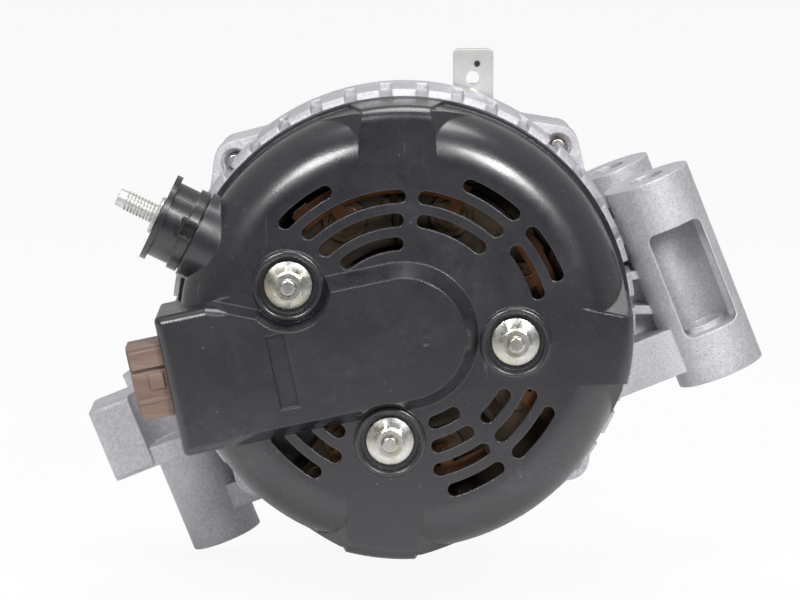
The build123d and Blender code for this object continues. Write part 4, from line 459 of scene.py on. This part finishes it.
def enamelled_wire(look):
    """Glossy enamel over copper, darker in places."""
    made = Finish("enamelled wire", look.enamel, metallic=0.35, roughness=0.3, coat=0.4)
    made.edges(0.0003)
    patch = made.level(made.noise(90.0, 5.0, 0.7), 0.35, 0.7)
    body = made.tint(patch, toned(look.enamel, 0.55), toned(look.enamel, 1.5))
    made.bump(made.noise(500.0, 3.0), 0.12, 0.0002)
    return made.done(body, made.level(patch, 0.0, 1.0, 0.24, 0.42))


def wound_wire(look):
    """Wire laid in turns round the rotor axis."""
    made = Finish("field winding", look.enamel, metallic=0.35, roughness=0.35)
    turns = made.bands(170.0, distortion=0.2)
    patch = made.level(made.noise(120.0, 5.0, 0.7), 0.35, 0.7)
    body = made.tint(made.level(turns, 0.0, 0.6), toned(look.enamel, 0.25), toned(look.enamel, 1.3))
    body = made.tint(made.share(patch, 0.5), body, toned(look.enamel, 0.6))
    made.bump(turns, 0.9, 0.0004)
    return made.done(body, made.level(patch, 0.0, 1.0, 0.3, 0.5))


def moulded_resin(name, shade, edge):
    """Matt resin with pale flecks and pale edges."""
    made = Finish(name, shade, roughness=0.55)
    rim = made.edges(edge)
    patch = made.level(made.noise(110.0, 5.0, 0.65), 0.35, 0.7)
    fleck = made.level(made.noise(1100.0, 2.0), 0.55, 0.75)
    body = made.tint(patch, toned(shade, 0.75), toned(shade, 1.2))
    body = made.tint(made.share(fleck, 0.3), body, toned(shade, 1.9))
    body = made.tint(made.share(rim, 0.3), body, toned(shade, 1.5))
    made.bump(made.noise(800.0, 3.0), 0.15, 0.00015)
    return made.done(body, made.level(patch, 0.0, 1.0, 0.47, 0.65))


def connector_plastic(look, sizes):
    """Brown plastic with the pale streaks of its flow into the mould."""
    made = Finish("connector plastic", look.connector, roughness=0.36)
    rim = made.edges(sizes.moulded_edge)
    streak = made.mapped((30, 400, 400), (0, REGULATOR_TILT, 0))
    flow = made.level(made.noise(1.0, 3.0, 0.6, place=streak), 0.45, 0.7)
    body = made.tint(made.share(flow, 0.35), look.connector, look.connector_light)
    body = made.tint(made.share(rim, 0.4), body, look.connector_light)
    made.bump(made.noise(1300.0, 3.0), 0.1, 0.0001)
    return made.done(body, made.level(made.noise(200.0), 0.3, 0.7, 0.3, 0.45))


# ------------------------------------------------------------- modelling tools
def start():
    """Leaves object mode clean before a new primitive."""
    if bpy.context.object and bpy.context.object.mode != "OBJECT":
        bpy.ops.object.mode_set(mode="OBJECT")
    bpy.ops.object.select_all(action="DESELECT")


def only(piece):
    """Selects this piece alone and makes it active."""
    start()
    piece.select_set(True)
    bpy.context.view_layer.objects.active = piece


def applied(piece, kind, **settings):
    """Adds a modifier, sets it and applies it."""
    only(piece)
    bpy.ops.object.modifier_add(type=kind)
    modifier = piece.modifiers[-1]
    for key, value in settings.items():
        setattr(modifier, key, value)
    bpy.ops.object.modifier_apply(modifier=modifier.name)
    return piece


def settle(piece):
    """Puts the piece's place in its mesh and leaves its object at the origin."""
    piece.data.transform(piece.matrix_world.copy())
    piece.matrix_world = Matrix.Identity(4)
    return piece


def copies(piece, matrices):
    """The piece once at each matrix, joined to one object."""
    made = []
    for matrix in matrices:
        other = piece.copy()
        other.data = piece.data.copy()
        bpy.context.collection.objects.link(other)
        other.data.transform(matrix)
        made.append(other)
    bpy.data.objects.remove(piece)
    return joined(made)


def joined(pieces):
    """The pieces as one object."""
    start()
    for piece in pieces:
        piece.select_set(True)
    bpy.context.view_layer.objects.active = pieces[0]
    bpy.ops.object.join()
    return bpy.context.object


def finished(piece, name, material, slot, body, *nodes):
    """Names a new piece, paints it, and puts it on its body for its nodes."""
    piece.name = name
    piece.data.name = name
    piece.data.materials.clear()
    piece.data.materials.append(material)
    only(piece)
    bpy.ops.object.mode_set(mode="EDIT")
    bpy.ops.mesh.select_all(action="SELECT")
    bpy.ops.mesh.normals_make_consistent(inside=False)
    bpy.ops.object.mode_set(mode="OBJECT")
    bpy.ops.object.shade_smooth_by_angle(angle=SMOOTH_BELOW)
    if nodes:
        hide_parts(*nodes)
    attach(piece, body)
    piece.select_set(False)
    return piece


def cylinder(radius, low, high, vertices=48):
    """A plain rod on Z from low to high."""
    start()
    bpy.ops.mesh.primitive_cylinder_add(vertices=vertices, radius=radius, depth=high - low)
    rod = bpy.context.object
    rod.data.transform(Matrix.Translation((0, 0, (low + high) / 2)))
    return rod


def rounded(piece, width, segments):
    """Rounds a piece's sharp edges."""
    return applied(
        piece, "BEVEL", width=width, segments=segments, limit_method="ANGLE", angle_limit=BEVEL_ABOVE
    )


def carved(piece, tool, operation):
    """Unites, cuts or intersects a piece with a tool, which is used up."""
    applied(piece, "BOOLEAN", object=tool, operation=operation, solver="EXACT")
    bpy.data.objects.remove(tool)
    return piece


def chain(points):
    """A run of edges drawn out through these points."""
    start()
    bpy.ops.mesh.primitive_plane_add(size=0.001)
    bpy.ops.object.mode_set(mode="EDIT")
    bpy.ops.mesh.select_all(action="SELECT")
    bpy.ops.mesh.merge(type="CENTER")
    bpy.ops.transform.translate(value=points[0])
    for here, there in zip(points, points[1:]):
        step = Vector(there) - Vector(here)
        bpy.ops.mesh.extrude_vertices_move(TRANSFORM_OT_translate={"value": step})
    bpy.ops.object.mode_set(mode="OBJECT")
    return bpy.context.object


def lathe(outline):
    """A closed solid turned about Z from (radius, height) points that start and end on the axis."""
    piece = chain([(radius, 0, height) for radius, height in outline])
    return applied(
        piece, "SCREW", steps=LATHE_STEPS, render_steps=LATHE_STEPS,
        use_merge_vertices=True, merge_threshold=1e-6, use_normal_calculate=True,
    )


def bent_bar(points, radius):
    """A round bar bent through these points, closed at its ends."""
    bar = chain(points)
    only(bar)
    bpy.ops.object.convert(target="CURVE")
    bar = bpy.context.object
    bar.data.bevel_depth = radius
    bar.data.bevel_resolution = 1
    bar.data.use_fill_caps = True
    bpy.ops.object.convert(target="MESH")
    return bpy.context.object


def wound(section, pitch, turns, steps):
    """Winds a closed section into a helix up Z and closes its ends."""
    applied(
        section, "SCREW", screw_offset=pitch, iterations=turns, steps=steps, render_steps=steps,
        use_merge_vertices=False, use_normal_calculate=True,
    )
    bpy.ops.object.mode_set(mode="EDIT")
    bpy.ops.mesh.select_all(action="SELECT")
    bpy.ops.mesh.remove_doubles(threshold=1e-7)
    bpy.ops.mesh.select_all(action="DESELECT")
    bpy.ops.mesh.select_non_manifold()
    bpy.ops.mesh.fill_holes(sides=8)
    bpy.ops.object.mode_set(mode="OBJECT")
    return section


def thread_ridge(radius, pitch, low, high):
    """A closed helical ridge with the outer radius and pitch, from low to high on Z."""
    start()
    bpy.ops.mesh.primitive_circle_add(vertices=4, radius=0.5 * pitch, rotation=(math.pi / 2, 0, 0))
    ridge = bpy.context.object
    settle(ridge)
    reach = 1.35 * THREAD_DEPTH * pitch  # deep enough for its foot to lie inside the core
    squeeze = Matrix.Diagonal((reach / (0.5 * pitch), 1, 0.92, 1))
    ridge.data.transform(Matrix.Translation((radius - reach, 0, low + 0.5 * pitch)) @ squeeze)
    return wound(ridge, pitch, max(1, int((high - low) / pitch) - 1), THREAD_STEPS)


def coil_spring(radius, wire, span, turns):
    """A coil of round wire on Z, centred, with its mean radius."""
    start()
    bpy.ops.mesh.primitive_circle_add(
        vertices=8, radius=wire, rotation=(math.pi / 2, 0, 0), location=(radius, 0, wire - span / 2)
    )
    coil = bpy.context.object
    settle(coil)
    return wound(coil, (span - 2 * wire) / turns, turns, COIL_STEPS)


def threaded_rod(radius, pitch, low, high, plain=0.0):
    """A rod on Z with rounded ends and a rolled thread, which stops short of high by the plain length."""
    root = radius - THREAD_DEPTH * pitch
    core = rounded(cylinder(root, low, high, THREAD_STEPS), 0.14 * root, 2)
    return joined([core, thread_ridge(radius, pitch, low, high - plain)])


def hex_head(flats, low, high, foot_coned=True, crown_coned=True):
    """A hexagon on Z whose corners are turned away to a cone at its foot and its crown."""
    corner = flats / math.sqrt(3)
    head = cylinder(corner, low, high, 6)
    drop = 0.64 * (corner - flats / 2)
    inner, clear = flats / 2 * 0.96, corner * 1.01  # inside the flats, and outside the corners
    foot, foot_rim = (low, low + drop) if foot_coned else (low - MM, low - MM)
    crown, crown_rim = (high, high - drop) if crown_coned else (high + MM, high + MM)
    cone = lathe([(0, foot), (inner, foot), (clear, foot_rim), (clear, crown_rim), (inner, crown), (0, crown)])
    return carved(head, cone, "INTERSECT")


def flange_nut(flats, flange, thickness, height, bore):
    """A flange nut standing on z=0, with a coned mouth to its bore."""
    chamfer, rim, root = 0.2 * MM, 0.45 * thickness, thickness + 0.4 * MM
    skirt = lathe([
        (0, 0), (flange - chamfer, 0), (flange, chamfer), (flange, rim),
        (flange - 0.3 * MM, rim + 0.3 * MM), (flats * 0.53, root), (0, root),
    ])
    nut = carved(hex_head(flats, chamfer, height, foot_coned=False), skirt, "UNION")
    mouth, above = bore + 0.9 * MM, height + MM
    hole = lathe([
        (0, -MM), (bore, -MM), (bore, height - 0.6 * MM), (mouth, height + 0.3 * MM), (mouth, above), (0, above),
    ])
    return carved(nut, hole, "DIFFERENCE")


def along_y(x, z, y=0.0, turn=0.0):
    """Takes a piece built up Z to lie along -Y at this place."""
    return Matrix.Translation((x, y, z)) @ Matrix.Rotation(math.pi / 2, 4, "X") @ Matrix.Rotation(turn, 4, "Z")


def about_rotor(angle):
    """A turn about the rotor axis that carries +X towards +Z."""
    return Matrix.Rotation(-angle, 4, "Y")


def polar(radius, degrees):
    """X and Z of a place round the rotor axis."""
    angle = math.radians(degrees)
    return radius * math.cos(angle), radius * math.sin(angle)


def chosen(context):
    """The colours and the sizes that the sidebar holds."""
    return context.scene.alternator_finish, context.scene.alternator_sizes


# ------------------------------------------------------------------- operators
class ALTERNATOR_OT_castings(bpy.types.Operator):
    """Finish the two cast end frames"""

    bl_idname = "alternator.castings"
    bl_label = "End frames"

    def execute(self, context):
        look, sizes = chosen(context)
        dress(cast_aluminium(look, sizes), "drive_end_frame", "rear_end_frame")
        return {"FINISHED"}


class ALTERNATOR_OT_cover(bpy.types.Operator):
    """Finish the moulded rear cover"""

    bl_idname = "alternator.cover"
    bl_label = "Rear cover"

    def execute(self, context):
        look, sizes = chosen(context)
        dress(satin_plastic("cover plastic", look.cover, look.cover_scuff, sizes.moulded_edge), "rear_cover")
        return {"FINISHED"}


class ALTERNATOR_OT_terminal(bpy.types.Operator):
    """Finish the output terminal and cut its thread"""

    bl_idname = "alternator.terminal"
    bl_label = "Output terminal"

    def execute(self, context):
        look, sizes = chosen(context)
        scuff = toned(look.cover_scuff, 0.8)
        dress(satin_plastic("insulator plastic", look.insulator, scuff, 0.5 * MM, 0.27), "b_plus_insulator")
        self.output_stud(sizes, rolled_thread(look))
        return {"FINISHED"}

    def output_stud(self, sizes, zinc):
        """A stud with a foot in the rear frame, and a collar under its thread."""
        foot, shank, collar = 0.0052, 0.004, 0.0056  # radii
        low, seat, neck, face, tip = 0.050, 0.057, 0.0773, 0.0780, 0.0901  # heights from the rotor axis
        crown = face + 0.5 * MM
        body = lathe([
            (0, low), (foot, low), (foot, seat), (shank, seat), (shank, neck), (collar - 0.2 * MM, neck + 0.1 * MM),
            (collar, neck + 0.2 * MM), (collar, face), (collar - 0.3 * MM, crown), (0, crown),
        ])
        thread = threaded_rod(M6, sizes.stud_pitch, face, tip, plain=1.2 * MM)
        stud = joined([body, thread])
        y, z = TERMINAL_AT
        place = about_rotor(TERMINAL_TILT) @ Matrix.Translation((0, y, z)) @ Matrix.Rotation(-math.pi / 2, 4, "Y")
        stud = copies(stud, [place])
        finished(stud, "output_stud_threaded", zinc, "zinc_steel", "housing", "b_plus_stud")


class ALTERNATOR_OT_fasteners(bpy.types.Operator):
    """Finish the nuts, studs, bolts and screws"""

    bl_idname = "alternator.fasteners"
    bl_label = "Fasteners"

    def execute(self, context):
        look, sizes = chosen(context)
        zinc = plated_steel(look)
        dress(
            zinc, "rectifier_screws", "harness_bracket_bolt", "retainer_screws", "bearing_retainer",
            "rear_mount_bush", "rectifier_spacers",
        )
        dress(painted_tab(look), "harness_bracket")
        self.cover_nuts(zinc)
        self.cover_studs(sizes, zinc)
        self.through_bolts(sizes, zinc)
        self.pulley_nut(zinc)
        return {"FINISHED"}

    def cover_nuts(self, zinc):
        """Three flange nuts on the rear cover."""
        nut = flange_nut(flats=8 * MM, flange=7.1 * MM, thickness=1.2 * MM, height=5 * MM, bore=M5 + 0.02 * MM)
        places = []
        for (radius, angle), turn in zip(COVER_FIXINGS, NUT_TURNS):
            places.append(along_y(*polar(radius, angle), NUT_SEAT_Y, math.radians(turn)))
        finished(copies(nut, places), "cover_nuts_formed", zinc, "zinc_steel", "housing", "cover_nuts")

    def cover_studs(self, sizes, zinc):
        """The studs that the cover's nuts are screwed on."""
        foot, shoulder, tip = 0.0967, 0.1235, 0.1305  # distances behind the belt's plane
        shank = rounded(cylinder(M5, foot, shoulder), 0.2 * MM, 1)
        stud = joined([shank, threaded_rod(M5, sizes.bolt_pitch, shoulder - 0.2 * MM, tip)])
        places = [along_y(*polar(radius, angle)) for radius, angle in COVER_FIXINGS]
        finished(copies(stud, places), "cover_studs_threaded", zinc, "zinc_steel", "housing", "cover_studs")

    def through_bolts(self, sizes, zinc):
        """Four bolts that draw the end frames together."""
        crown, seat, shoulder, tip = 0.041, 0.046, 0.0655, 0.0762  # distances behind the belt's plane
        washer = 5 * MM
        shank = cylinder(M5, seat + 0.2 * MM, shoulder)
        thread = threaded_rod(M5, sizes.bolt_pitch, shoulder - 0.2 * MM, tip)
        foot = lathe([
            (0, seat - 1.5 * MM), (washer - 0.8 * MM, seat - 1.5 * MM), (washer, seat - 0.8 * MM),
            (washer, seat - 0.2 * MM), (washer - 0.2 * MM, seat), (0, seat),
        ])
        head = carved(hex_head(8 * MM, crown, seat - 0.5 * MM, crown_coned=False), foot, "UNION")
        bolt = joined([shank, thread, head])
        places = [along_y(*polar(THROUGH_BOLT_CIRCLE, angle)) for angle in THROUGH_BOLTS]
        finished(copies(bolt, places), "through_bolts_threaded", zinc, "zinc_steel", "housing", "through_bolts")

    def pulley_nut(self, zinc):
        """The nut that holds the pulley on its shaft."""
        foot, crown = 2 * MM, 13 * MM  # distances ahead of the belt's plane
        nut = hex_head(24 * MM, foot, crown)
        hole = lathe([
            (0, foot - MM), (SHAFT_BORE, foot - MM), (SHAFT_BORE, crown - 0.8 * MM), (9.8 * MM, crown + 0.5 * MM),
            (0, crown + 0.5 * MM),
        ])
        nut = carved(nut, hole, "DIFFERENCE")
        turned = Matrix.Rotation(-math.pi / 2, 4, "X")
        finished(copies(nut, [turned]), "pulley_nut_chamfered", zinc, "zinc_steel", "rotor", "pulley_nut")


class ALTERNATOR_OT_electronics(bpy.types.Operator):
    """Finish the rectifier, regulator, brushes and connector"""

    bl_idname = "alternator.electronics"
    bl_label = "Electronics"

    def execute(self, context):
        look, sizes = chosen(context)
        # painted shade: the heat sink colour is darkened for the shade under the rear cover
        sink = plain_metal("heat sink aluminium", look.heat_sink, 0.45, scale=120.0)
        dress(sink, "negative_heat_sink", "positive_heat_sink", "regulator_heat_sink")
        # painted shade: the diode colour is darkened for the shade under the rear cover
        dress(plain_metal("diode case", look.diode, 0.36), "negative_diodes", "positive_diodes")
        # painted shade: the copper colour is darkened for the shade under the rear cover
        dress(plain_metal("bare copper", look.copper, 0.33), "phase_bus_bars", "inner_slip_ring", "outer_slip_ring")
        resin = moulded_resin("tan resin", look.resin, sizes.moulded_edge)
        dress(
            resin, "terminal_block", "brush_holder", "front_bearing_cage", "rear_bearing_cage",
            "rear_bearing_sleeve", "coil_bobbin",
        )
        dark = moulded_resin("dark resin", look.resin_dark, sizes.moulded_edge)
        dress(dark, "voltage_regulator", "slip_ring_cover", "slip_ring_carrier")
        dress(plain_metal("brush carbon", look.carbon, 0.5, metallic=0.3), "positive_brush", "negative_brush")
        wire = plain_metal("spring wire", look.steel, 0.3)
        for side in ("positive", "negative"):
            self.brush_spring(sizes, side, wire)
        dress(connector_plastic(look, sizes), "connector_housing")
        dress(plain_metal("tinned pins", look.tin, 0.28), "connector_terminals")
        return {"FINISHED"}

    def brush_spring(self, sizes, side, wire):
        """A coil spring in the place of the brush's spring."""
        node = side + "_brush_spring"
        low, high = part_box(node)
        middle = (low + high) / 2
        lie = about_rotor(REGULATOR_TILT)
        radius, span, turns = 1.7 * MM, 8.4 * MM, 7
        coil = coil_spring(radius, sizes.spring_wire / 2, span, turns)
        coil = copies(coil, [Matrix.Translation(middle) @ lie @ Matrix.Rotation(math.pi / 2, 4, "Y")])
        finished(coil, side + "_spring_coil", wire, "spring_steel", "housing", node)
        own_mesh(coil)


class ALTERNATOR_OT_stator(bpy.types.Operator):
    """Finish the stator core and lay its winding"""

    bl_idname = "alternator.stator"
    bl_label = "Stator"

    def execute(self, context):
        look, sizes = chosen(context)
        dress(laminations(look), "stator_core")
        low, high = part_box("stator_core")
        inner, outer = self.layers(sizes)
        middle = (low.y + high.y) / 2
        ends = []
        for face, side in ((low.y, -1), (high.y, 1)):
            for pair in ((inner, inner + sizes.wire), (outer - sizes.wire, outer)):
                ends.append(self.crowns(sizes, pair, middle, face, side))
        bars = joined(ends)
        finished(bars, "stator_winding_bars", enamelled_wire(look), "copper_wire", "housing", "stator_winding")
        return {"FINISHED"}

    def layers(self, sizes):
        """Radii of the innermost and the outermost of four layers of bars."""
        low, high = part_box("stator_winding")
        outer = (high.x - low.x) / 2 - sizes.wire / 2
        step = 1.06 * sizes.wire
        return outer - 3 * step, outer

    def crowns(self, sizes, radii, middle, face, side):
        """One ring of bars whose ends cross from slot to slot above the core's face."""
        half = math.pi * sizes.span / sizes.slots
        first, second = radii
        shoulder, top = face + side * 1.8 * MM, face + side * sizes.crown
        leg = [  # share of the half span, and height, from the slot up to the crown
            (1, middle), (1, shoulder), (0.86, shoulder + side * MM), (0.5, (shoulder + top) / 2),
            (0.12, top - side * MM),
        ]
        path = [(first, -share * half, y) for share, y in leg]
        path.append(((first + second) / 2, 0, top))
        path += [(second, share * half, y) for share, y in reversed(leg)]
        points = [(radius * math.cos(angle), y, radius * math.sin(angle)) for radius, angle, y in path]
        bar = bent_bar(points, sizes.wire / 2)
        pitch = 2 * math.pi / sizes.slots
        return copies(bar, [about_rotor(slot * pitch) for slot in range(sizes.slots)])


class ALTERNATOR_OT_rotor(bpy.types.Operator):
    """Finish the rotor, its fans, bearings and pulley"""

    bl_idname = "alternator.rotor"
    bl_label = "Rotor and pulley"

    def execute(self, context):
        look = chosen(context)[0]
        dress(turned_metal("pole iron", look.iron, 0.45, look.iron_edge), "front_claw_pole", "rear_claw_pole")
        dress(wound_wire(look), "field_coil")
        dress(plain_metal("fan steel", look.fan, 0.38, scale=90.0), "front_fan", "rear_fan")
        steel = turned_metal("ground steel", look.steel, 0.22, look.steel_edge)
        dress(steel, "rotor_shaft", "shaft_spacer", "pulley_spacer")
        for end in ("front", "rear"):
            dress(steel, *(end + "_bearing_" + part for part in ("outer_race", "inner_race", "balls")))
        dress(moulded_resin("seal rubber", look.rubber, 0.3 * MM), "front_bearing_seals", "rear_bearing_seals")
        dress(turned_metal("pulley steel", look.pulley, 0.34, look.pulley_edge), "pulley")
        return {"FINISHED"}


class ALTERNATOR_OT_stage(bpy.types.Operator):
    """Set the floor, the lamps, the surroundings and the camera"""

    bl_idname = "alternator.stage"
    bl_label = "Stage"

    def execute(self, context):
        stage = context.scene.alternator_stage
        low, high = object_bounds()
        self.floor(low.z - stage.floor_gap)
        self.surroundings(context, stage)
        self.lamps(context, stage, (low + high) / 2)
        self.camera(context, stage)
        context.scene.view_settings.view_transform = "Standard"
        return {"FINISHED"}

    def floor(self, height):
        """A plain floor that reaches behind the object."""
        start()
        bpy.ops.mesh.primitive_plane_add(size=6.0, location=(0, 0.6, height))
        floor = settle(bpy.context.object)
        floor.name = "floor"
        floor.data.materials.append(self.pale())
        floor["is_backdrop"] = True

    def lamps(self, context, stage, middle):
        """Two soft lamps in front and one overhead, turned to the middle of the object."""
        for name, place, size, power, share in LAMP_ROWS:
            data = bpy.data.lights.new(name, "AREA")
            data.shape = "SQUARE"
            data.size = size
            data.energy = share * getattr(stage, power)
            self.placed(context, name, data, place, middle - Vector(place))

    def camera(self, context, stage):
        """The camera, at its distance from the point that it looks at."""
        data = bpy.data.cameras.new("camera")
        data.lens = stage.lens
        data.clip_end = 20.0
        turn, rise = stage.azimuth, stage.elevation
        back = Vector((math.sin(turn) * math.cos(rise), -math.cos(turn) * math.cos(rise), math.sin(rise)))
        place = Vector(stage.aim) + back * stage.distance
        context.scene.camera = self.placed(context, "camera", data, place, -back)

    def placed(self, context, name, data, place, towards):
        """An object at a place that looks along a direction."""
        made = bpy.data.objects.new(name, data)
        context.collection.objects.link(made)
        made.location = place
        made.rotation_mode = "QUATERNION"
        made.rotation_quaternion = towards.to_track_quat("-Z", "Y")
        return made

    def camera_ray(self, tree):
        """1 for rays that come straight from the camera."""
        return tree.nodes.new("ShaderNodeLightPath").outputs["Is Camera Ray"]

    def along(self, tree, coordinates, limits, values, **settings):
        """Changes from one value to the other as Y goes from limit to limit."""
        split = tree.nodes.new("ShaderNodeSeparateXYZ")
        tree.links.new(tree.nodes.new("ShaderNodeTexCoord").outputs[coordinates], split.inputs["Vector"])
        spread = tree.nodes.new("ShaderNodeMapRange")
        for key, value in settings.items():
            setattr(spread, key, value)
        for name, value in zip(("From Min", "From Max", "To Min", "To Max"), (*limits, *values)):
            spread.inputs[name].default_value = value
        tree.links.new(split.outputs["Y"], spread.inputs["Value"])
        return spread.outputs["Result"]

    def blended(self, tree, mask, first, second):
        """Mixes two shaders by a mask, and links them to the tree's output."""
        mix = tree.nodes.new("ShaderNodeMixShader")
        tree.links.new(mask, mix.inputs[0])
        tree.links.new(first.outputs[0], mix.inputs[1])
        tree.links.new(second.outputs[0], mix.inputs[2])
        output = next(node for node in tree.nodes if node.bl_idname.startswith("ShaderNodeOutput"))
        tree.links.new(mix.outputs[0], output.inputs["Surface"])

    def room(self, tree):
        """White for the camera; light and reflections come from a room that is darker on its near side."""
        near = self.along(tree, "Generated", (-0.97, -0.15), (0.17, 1.0), interpolation_type="SMOOTHSTEP")
        either = tree.nodes.new("ShaderNodeMath")
        either.operation = "MAXIMUM"
        tree.links.new(self.camera_ray(tree), either.inputs[0])
        tree.links.new(near, either.inputs[1])
        return either.outputs["Value"]

    def pale(self):
        """A floor that the camera sees as white paper, and that is darker in front to what mirrors it."""
        material = bpy.data.materials.new("pale floor")
        material.use_nodes = True
        tree = material.node_tree
        tree.nodes.clear()
        tree.nodes.new("ShaderNodeOutputMaterial")
        matt = tree.nodes.new("ShaderNodeBsdfDiffuse")
        shade = self.along(tree, "Object", (-0.55, -0.20), (0.16, 0.86))
        tree.links.new(shade, matt.inputs["Color"])
        glow = tree.nodes.new("ShaderNodeEmission")
        glow.inputs["Color"].default_value = (1, 1, 1, 1)
        share = tree.nodes.new("ShaderNodeMath")
        share.operation = "MULTIPLY"
        share.inputs[1].default_value = 0.92
        tree.links.new(self.camera_ray(tree), share.inputs[0])
        self.blended(tree, share.outputs["Value"], matt, glow)
        return material

    def surroundings(self, context, stage):
        """The fill light from all round, and the white that the camera sees behind the object."""
        world = bpy.data.worlds.new("surroundings")
        context.scene.world = world
        world.use_nodes = True
        tree = world.node_tree
        tree.nodes.clear()
        tree.nodes.new("ShaderNodeOutputWorld")
        room = self.room(tree)
        grounds = []
        for strength in (stage.fill, 1.0):
            ground = tree.nodes.new("ShaderNodeBackground")
            ground.inputs["Strength"].default_value = strength
            tree.links.new(room, ground.inputs["Color"])
            grounds.append(ground)
        self.blended(tree, self.camera_ray(tree), *grounds)


class ALTERNATOR_PT_panel(bpy.types.Panel):
    """The alternator's tools"""

    bl_idname = "ALTERNATOR_PT_panel"
    bl_label = "Alternator"
    bl_space_type = "VIEW_3D"
    bl_region_type = "UI"
    bl_category = "Alternator"

    def draw(self, context):
        for operator in OPERATORS:
            self.layout.operator(operator.bl_idname)
        for group in (*chosen(context), context.scene.alternator_stage):
            box = self.layout.box()
            for name in group.bl_rna.properties.keys():
                if name not in ("rna_type", "name"):  # Blender's own
                    box.prop(group, name)


GROUPS = (AlternatorFinish, AlternatorSizes, AlternatorStage)
OPERATORS = (
    ALTERNATOR_OT_castings, ALTERNATOR_OT_cover, ALTERNATOR_OT_terminal, ALTERNATOR_OT_fasteners,
    ALTERNATOR_OT_electronics, ALTERNATOR_OT_stator, ALTERNATOR_OT_rotor, ALTERNATOR_OT_stage,
)


CLASSES = (*GROUPS, *OPERATORS, ALTERNATOR_PT_panel)


def register():
    for item in CLASSES:
        bpy.utils.register_class(item)
    bpy.types.Scene.alternator_finish = PointerProperty(type=AlternatorFinish)
    bpy.types.Scene.alternator_sizes = PointerProperty(type=AlternatorSizes)
    bpy.types.Scene.alternator_stage = PointerProperty(type=AlternatorStage)


def unregister():
    del bpy.types.Scene.alternator_stage
    del bpy.types.Scene.alternator_sizes
    del bpy.types.Scene.alternator_finish
    for item in reversed(CLASSES):
        bpy.utils.unregister_class(item)


def main():
    register()
    bpy.ops.alternator.castings()
    bpy.ops.alternator.cover()
    bpy.ops.alternator.terminal()
    bpy.ops.alternator.fasteners()
    bpy.ops.alternator.electronics()
    bpy.ops.alternator.stator()
    bpy.ops.alternator.rotor()
    bpy.ops.alternator.stage()


if __name__ == "__main__":
    main()
